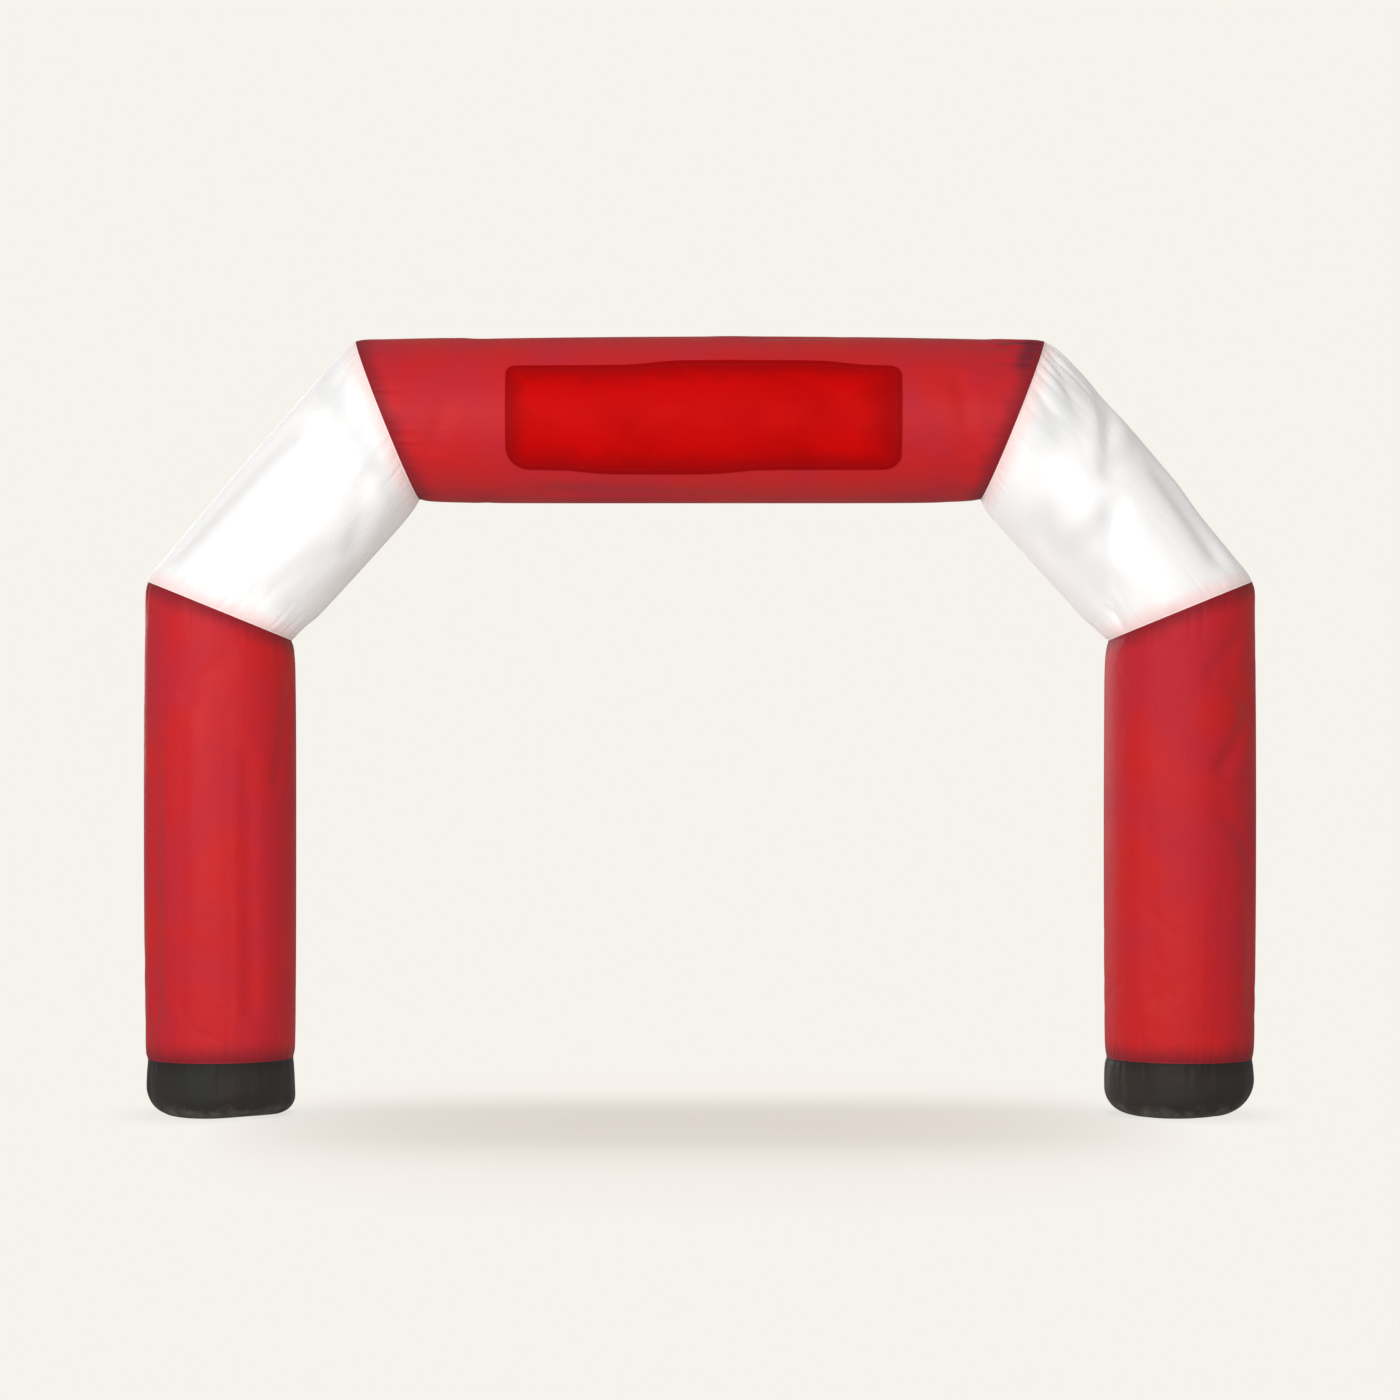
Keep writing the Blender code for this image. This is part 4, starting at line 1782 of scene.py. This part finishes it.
@dataclass
class BannerSheet:
    """The blank sheet on the beam's front, stretched over it, with a sewn hem all round.

    Attributes:
        beam: The tube that it lies on.
        left: Its left end along X.
        right: Its right end.
        low: The angle of its lower edge on the beam.
        high: The angle of its upper edge.
    """

    beam: Tube
    name: str = "banner_sheet"
    node: str = "banner_panel"
    left: float = -1.025
    right: float = 1.062
    low: float = math.radians(-42.4)
    high: float = math.radians(32.0)
    bulge_up: float = 0.034
    bulge_up_ends: tuple[float, float] = (-0.25, 0.76)
    bulge_down: float = 0.030
    bulge_down_ends: tuple[float, float] = (-0.62, 0.18)
    bulge_soft: float = 0.06
    radius: float = BEAM_DIAMETER / 2
    thickness: float = 0.0020
    clearance: float = 0.0012
    hem: float = 0.034
    hem_height: float = 0.0016
    hem_step: float = 0.0012
    stitch_inset: float = 0.006
    groove: float = 0.0009
    groove_width: float = 0.0035
    flutter: float = 0.0014
    flutter_reach: float = 0.045
    flutter_seed: int = 41
    flutter_waves: int = 7
    flutter_turns: tuple[float, float] = (14.0, 46.0)
    flutter_slant: float = 1.3
    smoothing: int = 60
    corners: tuple[float, float, float, float] = (0.130, 0.090, 0.050, 0.060)
    # The right rim's distances are scaled by this, so that its painted shade reaches further in.
    right_rim_shade: float = 0.50
    cell: float = 0.012
    crowding: float = 0.35
    line_points: int = 120
    area_points: int = 400
    piece: bpy.types.Object | None = field(default=None, init=False)

    @property
    def width(self) -> float:
        """The sheet's width along the beam."""
        return self.right - self.left

    @property
    def height(self) -> float:
        """The sheet's height round the beam's curve."""
        return (self.high - self.low) * self.radius

    def build(self) -> bpy.types.Object:
        """Models the sheet on the beam's finished cloth, hems and dresses it.

        Returns:
            The finished piece.
        """
        columns, rows = round(self.width / self.cell), round(self.height / self.cell)
        bpy.ops.object.select_all(action="DESELECT")
        bpy.ops.mesh.primitive_grid_add(x_subdivisions=columns, y_subdivisions=rows, size=1.0)
        piece = bpy.context.object
        piece.name = piece.data.name = self.name
        mesh = piece.data
        flat = corners_of(mesh)
        across = self._crowd(flat[:, 0] + 0.5, self.width)
        up = self._crowd(flat[:, 1] + 0.5, self.height)
        edge = self._edge_distance(across, up)
        across, up = self._round_corners(across, up)
        place_corners(mesh, self._lay(across, up, edge, columns + 1, rows + 1))
        if mesh.polygons[0].normal.y > 0:
            with editing(piece, Pick.FACES):
                bpy.ops.mesh.select_all(action="SELECT")
                bpy.ops.mesh.flip_normals()
        lay_map(mesh, across, up, 0.0)
        # The finish darkens the rim by this distance: the hem lies double there, under painted shade.
        store(mesh, SEAM_DISTANCE, self._rim_shade_distance(across, edge))
        apply_modifier(piece, "SOLIDIFY", thickness=self.thickness, offset=-1.0)
        activate(piece)
        bpy.ops.object.shade_smooth_by_angle(angle=SHARP_ANGLE)
        dress(piece, BANNER)
        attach(piece, BODY)
        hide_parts(self.node)
        self.piece = piece
        log.info("%s: %d faces", self.name, len(mesh.polygons))
        return piece

    def _crowd(self, share: np.ndarray, length: float) -> np.ndarray:
        """Distances across the sheet, with the rows closer together in the hems."""
        return length * (share - self.crowding * np.sin(math.tau * share) / math.tau)

    def _edge_distance(self, across: np.ndarray, up: np.ndarray) -> np.ndarray:
        """How far each place is from the sheet's nearest edge."""
        sides = (across, self.width - across, up, self.height - up)
        return np.minimum.reduce(sides)

    def _rim_shade_distance(self, across: np.ndarray, edge: np.ndarray) -> np.ndarray:
        """The distance from the edge as the finish reads it: the painted shade on the right rim reaches
        further in.

        Args:
            across: How far each corner is from the sheet's left end.
            edge: How far it is from the nearest edge.

        Returns:
            A distance for each corner.
        """
        right = self.width - across
        wide = self.hem + (right - self.hem) * self.right_rim_shade
        return np.where(right > self.hem, np.minimum(edge, wide), edge)

    def _bulge(self, across: np.ndarray, ends: tuple[float, float], size: float) -> np.ndarray:
        """How far an edge stands out between two places along the sheet, with soft ends.

        Args:
            across: Distances from the sheet's left end.
            ends: Where the bulge starts and ends.
            size: How far it stands out.

        Returns:
            A length for each distance.
        """
        before = (ends[0] - self.left - across) / self.bulge_soft
        after = (self.left + across - ends[1]) / self.bulge_soft
        return size / ((1 + np.exp(before)) * (1 + np.exp(after)))

    def _angle(self, across: np.ndarray, up: np.ndarray) -> np.ndarray:
        """The angle on the beam of each place, between the sheet's uneven edges.

        Args:
            across: How far each place is from the sheet's left end.
            up: How far it is from the lower edge.

        Returns:
            An angle for each place.
        """
        share = up / self.height
        out = self._bulge(across, self.bulge_up_ends, self.bulge_up) * share
        out -= self._bulge(across, self.bulge_down_ends, self.bulge_down) * (1 - share)
        return self.low + (up + out) / self.radius

    def _round_corners(self, across: np.ndarray, up: np.ndarray) -> tuple[np.ndarray, np.ndarray]:
        """Draws the square corners in to round ones: lower left and right, upper left and right.

        Args:
            across: How far each place is from the sheet's left end.
            up: How far it is from the lower edge.

        Returns:
            The places' new distances, across and up.
        """
        mid = np.array((self.width / 2, self.height / 2))
        places = np.stack((across, up), axis=1) - mid
        which = (places[:, 0] > 0) + 2 * (places[:, 1] > 0)
        corner = np.array(self.corners)[which][:, None]
        over = np.maximum(np.abs(places) - (mid - corner), 0)
        far = np.linalg.norm(over, axis=1)
        longest = over.max(axis=1)
        kept = np.where(far > 0, longest / np.maximum(far, TINY), 1.0)
        places = np.sign(places) * (np.abs(places) - over * (1 - kept)[:, None])
        places += mid
        return places[:, 0], places[:, 1]

    def _lay(
        self, across: np.ndarray, up: np.ndarray, edge: np.ndarray, columns: int, rows: int
    ) -> np.ndarray:
        """Lays the sheet on the beam's cloth, smooth and just clear of it.

        Args:
            across: How far each corner is from the sheet's left end.
            up: How far each corner is from its lower edge.
            edge: How far each corner is from the nearest edge.
            columns: The number of corners in a row of the grid.
            rows: The number of rows.

        Returns:
            The places of the sheet's outer face.
        """
        axis, away = self._spokes(across, up)
        found = self._found(faces_of(self.beam.piece), axis, away)
        floor = np.linalg.norm(found - axis, axis=1).reshape(rows, columns)
        sheet = floor.copy()
        for _ in range(self.smoothing):
            padded = np.pad(sheet, 1, mode="edge")
            near = padded[:-2, 1:-1] + padded[2:, 1:-1] + padded[1:-1, :-2] + padded[1:-1, 2:]
            sheet = np.maximum(near / 4, floor)
        lift = self.hem_height * (1 / (1 + np.exp((edge - self.hem) / self.hem_step)))
        from_line = (edge - self.hem + self.stitch_inset) / self.groove_width
        groove = self.groove * np.exp(-(from_line**2))
        flutter = self._flutter(across, up) * np.exp(-edge / self.flutter_reach)
        out = sheet.ravel() + self.clearance + self.thickness + lift - groove + flutter
        return axis + away * out[:, None]

    def _spokes(self, across: np.ndarray, up: np.ndarray) -> tuple[np.ndarray, np.ndarray]:
        """For each place of the sheet, its point on the beam's axis and the direction out.

        Args:
            across: How far each place is from the sheet's left end.
            up: How far it is from the lower edge.

        Returns:
            A row for each point, and one for each direction.
        """
        x = self.left + across
        axis = np.stack((x, np.zeros_like(x), np.full_like(x, self.beam.start[2])), axis=1)
        return axis, self.beam.away(self._angle(across, up))

    def _found(self, tree: BVHTree, axis: np.ndarray, away: np.ndarray) -> np.ndarray:
        """Where each spoke leaves a cloth, as seen from outside.

        Args:
            tree: The cloth's faces.
            axis: Points on the beam's axis.
            away: The directions out.

        Returns:
            A row of x, y and z for each spoke.
        """
        far = axis + away * (self.radius + OUTSIDE)
        hits = [tree.ray_cast(Vector(point), Vector(-out))[0] for point, out in zip(far, away)]
        return np.array(hits)

    def _flutter(self, across: np.ndarray, up: np.ndarray) -> np.ndarray:
        """How far the hem stands off, unevenly, as it does between stitches.

        Args:
            across: How far each place is from the sheet's left end.
            up: How far it is from the lower edge.

        Returns:
            A length for each place.
        """
        draws = random.Random(self.flutter_seed)
        wave = np.zeros_like(across)
        for _ in range(self.flutter_waves):
            turns = draws.uniform(*self.flutter_turns)
            for place in (turns * across, turns * self.flutter_slant * up):
                wave += np.sin(place + draws.uniform(0, math.tau)) / self.flutter_waves
        return self.flutter * (1 + wave)

    def _area(self) -> float:
        """The sheet's area when it lies flat, between its uneven edges and inside its corners.

        Returns:
            The area in square metres.
        """
        across = np.linspace(0.0, self.width, self.area_points)
        ends = [self._angle(across, np.full_like(across, up)) for up in (0.0, self.height)]
        whole = float(np.mean(ends[1] - ends[0])) * self.radius * self.width
        return whole - sum((1 - math.pi / 4) * corner**2 for corner in self.corners)

    def hem_lines(self) -> list[StitchLine]:
        """The sewn line round the hem.

        Returns:
            The line's four sides.
        """
        inset = self.hem - self.stitch_inset
        tree = faces_of(self.piece)
        corners = (
            (inset, inset),
            (self.width - inset, inset),
            (self.width - inset, self.height - inset),
            (inset, self.height - inset),
        )
        lines = []
        for start, end in zip(corners, corners[1:] + corners[:1]):
            steps = np.linspace(0, 1, self.line_points)[:, None]
            flat = np.array(start) * (1 - steps) + np.array(end) * steps
            axis, away = self._spokes(*self._round_corners(flat[:, 0], flat[:, 1]))
            lines.append(StitchLine(self._found(tree, axis, away), away, closed=False))
        return lines

    def hand_in(self) -> None:
        self._area()


# ---------------------------------------------------------------------------------------------
# The arch and the studio
# ---------------------------------------------------------------------------------------------


class Side(Enum):
    """A side of the arch as seen from the front, and its direction along X."""

    LEFT = -1
    RIGHT = 1


@dataclass(frozen=True)
class SideCloth:
    """What differs between the two sides: their draws, creases and feet's lower edges."""

    seed: int
    leg: tuple[Crease, ...]
    shoulder: tuple[Crease, ...]
    foot: tuple[EdgeRadius, ...]
    shade_strokes: tuple[Crease, ...]
    pinches: tuple[Pucker, ...] = ()


SIDE_CLOTH = {
    Side.LEFT: SideCloth(
        100, LEG_LEFT_CREASES, SHOULDER_LEFT_CREASES, LEFT_FOOT_EDGE, SHOULDER_LEFT_SHADE_STROKES
    ),
    Side.RIGHT: SideCloth(
        200,
        LEG_RIGHT_CREASES,
        SHOULDER_RIGHT_CREASES,
        RIGHT_FOOT_EDGE,
        SHOULDER_RIGHT_SHADE_STROKES,
        SHOULDER_PINCHES,
    ),
}


@dataclass(frozen=True)
class Arch:
    """The whole arch: two sides, each with a foot, a leg and a shoulder, and the beam."""

    seed_step: int = 10
    beam_seed: int = 300
    beam_sides: int = 136

    def seams(self, side: Side) -> tuple[Seam, Seam, Seam]:
        """The sewn rings of one side, from the ground up.

        Args:
            side: Which side it is.

        Returns:
            The foot's ring, the leg's and the beam's.
        """
        out_x = side.value * SPAN / 2
        in_x = side.value * (SPAN / 2 - LEG_DIAMETER)
        leg_radius, beam_radius = LEG_DIAMETER / 2, BEAM_DIAMETER / 2
        drawn = (DRAW_IN_OUTER, DRAW_IN_INNER)
        foot = Seam((out_x, BASE_HEIGHT), (in_x, BASE_HEIGHT), leg_radius, DRAW_IN_BASE, DRAW_IN_BASE)
        leg = Seam((out_x, LEG_SEAM_OUTER_Z), (in_x, LEG_SEAM_INNER_Z), leg_radius, *drawn)
        top = (side.value * BEAM_SEAM_TOP_X, HEIGHT)
        bottom = (side.value * BEAM_SEAM_BOTTOM_X, HEIGHT - BEAM_DIAMETER)
        return foot, leg, Seam(top, bottom, beam_radius, *drawn)

    def build_side(self, side: Side) -> Seam:
        """Builds one side from the ground up.

        Args:
            side: Which side it is.

        Returns:
            The seam that it shares with the beam.
        """
        foot_seam, leg_seam, beam_seam = self.seams(side)
        cloth = SIDE_CLOTH[side]
        name = side.name.lower()
        foot = Foot(
            name=f"foot_{name}_cloth",
            node=f"base_{name}",
            finish=BLACK,
            seed=cloth.seed,
            seam=foot_seam,
            edges=cloth.foot,
        )
        leg = Tube(
            name=f"leg_{name}_cloth",
            node=f"leg_{name}",
            finish=RED,
            seed=cloth.seed + self.seed_step,
            lower=foot_seam,
            upper=leg_seam,
            creases=cloth.leg,
        )
        shoulder = Tube(
            name=f"shoulder_{name}_cloth",
            node=f"shoulder_{name}",
            finish=WHITE,
            seed=cloth.seed + 2 * self.seed_step,
            lower=leg_seam,
            upper=beam_seam,
            creases=cloth.shoulder,
            pinches=cloth.pinches,
            shade_strokes=cloth.shade_strokes,
        )
        for piece in (foot, leg, shoulder):
            piece.build()
        Stitching(f"foot_{name}_stitches", BLACK_THREAD, BLACK.slot).build(foot_lines(foot))
        Stitching(f"leg_{name}_stitches", RED_THREAD, RED.slot).build(seam_lines(leg))
        Stitching(f"shoulder_{name}_stitches", WHITE_THREAD, WHITE.slot).build(seam_lines(shoulder))
        return beam_seam

    def build(self) -> None:
        """Builds both sides, the beam between them and its banner sheet."""
        left, right = (self.build_side(side) for side in Side)
        beam = Tube(
            name="beam_cloth",
            node="beam",
            finish=RED,
            seed=self.beam_seed,
            sides=self.beam_sides,
            lower=left,
            upper=right,
            creases=BEAM_CREASES,
            pinches=BEAM_PINCHES,
            shade_strokes=BEAM_SHADE_STROKES,
        )
        beam.build()
        Stitching("beam_stitches", RED_THREAD, RED.slot).build(seam_lines(beam))
        banner = BannerSheet(beam)
        banner.build()
        stitches = Stitching("banner_stitches", RED_THREAD, BANNER.slot).build(banner.hem_lines())
        banner.hand_in()


class Lights(Enum):
    """What a lamp lights: the arch or the floor. The rest still casts its shadow."""

    ARCH = "EXCLUDE"
    FLOOR = "INCLUDE"


@dataclass(frozen=True)
class Softbox:
    """A square, soft studio lamp that looks at a point."""

    name: str
    place: tuple[float, float, float]
    target: tuple[float, float, float]
    size: float
    power: float
    lights: Lights = Lights.ARCH

    def hang(self, floor: bpy.types.Object) -> None:
        """Adds the lamp to the scene.

        Args:
            floor: The studio's floor, which the lamp lights alone or leaves out.
        """
        data = bpy.data.lights.new(self.name, "AREA")
        data.shape = "SQUARE"
        data.size = self.size
        data.energy = self.power
        lamp = bpy.data.objects.new(self.name, data)
        lamp.location = self.place
        look = Vector(self.target) - Vector(self.place)
        lamp.rotation_euler = look.to_track_quat("-Z", "Y").to_euler()
        lamp.visible_camera = False
        lit = bpy.data.collections.new(self.name)
        lit.objects.link(floor)
        lit.collection_objects[0].light_linking.link_state = self.lights.value
        lamp.light_linking.receiver_collection = lit
        bpy.context.scene.collection.objects.link(lamp)


@dataclass(frozen=True)
class Studio:
    """A plain pale floor that runs out into a plain pale backdrop, soft lamps and the camera."""

    backdrop: Colour = (0.922, 0.892, 0.842, 1.0)
    floor: Colour = (0.880, 0.862, 0.818, 1.0)
    ambient: float = 0.45
    shadow_reach: tuple[float, float] = (2.55, 3.4)
    shadow_middle: float = -0.6
    shadow_share: float = 0.80
    foot_reach: float = 0.72
    foot_share: float = 0.12
    shadow_power: float = 3.0
    floor_radius: float = 60.0
    floor_drop: float = 0.0005
    camera_place: tuple[float, float, float] = (0.0, -15.0, 1.6)
    camera_lens: float = 71.2
    camera_shift: float = 0.084
    camera_reach: float = 200.0
    lamps: tuple[Softbox, ...] = (
        Softbox("key_lamp", (-6.5, -11.8, 4.6), (0.0, 0.0, 2.2), 5.0, 950.0),
        Softbox("fill_lamp", (2.0, -12.5, 3.4), (0.5, 0.0, 2.2), 5.0, 560.0),
        Softbox("back_lamp", (-6.5, 11.0, 5.0), (0.0, 0.0, 2.2), 6.0, 600.0),
        Softbox("top_lamp", (0.0, 1.8, 16.0), (0.0, 0.0, 0.0), 9.0, 1850.0, Lights.FLOOR),
    )

    def build(self) -> None:
        """Builds the floor, the backdrop, the lamps and the camera."""
        scene = bpy.context.scene
        scene.view_settings.view_transform = "Standard"
        self._build_world()
        floor = self._build_floor()
        for lamp in self.lamps:
            lamp.hang(floor)
        self._place_camera()
        log.info("studio: %d lamps", len(self.lamps))

    def _seen(self, wiring: Wiring) -> bpy.types.NodeSocket:
        """The backdrop's strength: full to the camera, and the ambient light's to all else."""
        camera = wiring.add("LightPath", {}).outputs["Is Camera Ray"]
        return wiring.math("MULTIPLY_ADD", camera, 1 - self.ambient, self.ambient)

    def _build_world(self) -> None:
        """Gives the scene its backdrop."""
        world = bpy.data.worlds.new("backdrop")
        world.use_nodes = True
        wiring = Wiring(world.node_tree)
        background = world.node_tree.nodes["Background"]
        wiring.feed(background, {"Color": self.backdrop, "Strength": self._seen(wiring)})
        bpy.context.scene.world = world

    def _build_floor(self) -> bpy.types.Object:
        """Lays the floor, which fades into the backdrop with distance.

        Returns:
            The floor.
        """
        bpy.ops.object.select_all(action="DESELECT")
        bpy.ops.mesh.primitive_circle_add(
            vertices=96, radius=self.floor_radius, fill_type="NGON", location=(0, 0, -self.floor_drop)
        )
        floor = bpy.context.object
        floor.name = "studio_floor"
        made = bpy.data.materials.new("studio_floor")
        made.use_nodes = True
        wiring = Wiring(made.node_tree)
        nodes = made.node_tree.nodes
        shader = nodes["Principled BSDF"]
        wiring.feed(shader, {"Base Color": self.floor, "Roughness": 0.9, "Specular IOR Level": 0.1})
        glow = wiring.add("Emission", {"Color": self.backdrop, "Strength": self._seen(wiring)})
        share = self._shadow_share(wiring)
        mixed = wiring.add("MixShader", {0: share, 1: glow.outputs[0], 2: shader.outputs[0]})
        wiring.feed(nodes["Material Output"], {"Surface": mixed.outputs[0]})
        floor.data.materials.append(made)
        return floor

    def _shadow_share(self, wiring: Wiring) -> bpy.types.NodeSocket:
        """How much of the arch's shadow the floor takes: most under the beam and at the feet.

        Args:
            wiring: The floor material's tree.

        Returns:
            A share from 0 to 1.
        """
        place = wiring.add("SeparateXYZ", {0: wiring.add("TexCoord", {}).outputs["Object"]})
        side = wiring.math("ABSOLUTE", place.outputs[0])
        reach_x, reach_y = self.shadow_reach
        across = wiring.math("POWER", wiring.math("DIVIDE", side, reach_x), self.shadow_power)
        ahead = wiring.math("SUBTRACT", place.outputs[1], self.shadow_middle)
        deep = wiring.math("DIVIDE", ahead, reach_y)
        gone = wiring.math("MULTIPLY_ADD", deep, deep, across)
        middle = wiring.math("MULTIPLY_ADD", gone, -self.shadow_share, self.shadow_share)
        from_foot = wiring.math("SUBTRACT", side, (SPAN - LEG_DIAMETER) / 2)
        behind = wiring.math("MULTIPLY", place.outputs[1], place.outputs[1])
        square = wiring.math("MULTIPLY_ADD", from_foot, from_foot, behind)
        foot = wiring.fit(wiring.math("SQRT", square), self.foot_reach, LEG_DIAMETER / 2)
        feet = wiring.math("MULTIPLY", foot, self.foot_share)
        return wiring.math("MAXIMUM", wiring.math("MAXIMUM", middle, feet), 0.0)

    def _place_camera(self) -> None:
        """Places the camera in front of the arch, at the height of the eyes."""
        data = bpy.data.cameras.new("camera")
        data.lens = self.camera_lens
        data.sensor_width = 36.0
        data.shift_y = self.camera_shift
        data.clip_end = self.camera_reach
        camera = bpy.data.objects.new("camera", data)
        camera.location = self.camera_place
        camera.rotation_euler = (math.pi / 2, 0.0, 0.0)
        bpy.context.scene.collection.objects.link(camera)
        bpy.context.scene.camera = camera


def write_sizes() -> None:
    """Updates the view layer."""
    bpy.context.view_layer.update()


def main() -> None:
    """Builds the studio and the arch."""
    logging.basicConfig(level=logging.INFO, format="%(name)s: %(message)s")
    Studio().build()
    Arch().build()
    write_sizes()


if __name__ == "__main__":
    main()
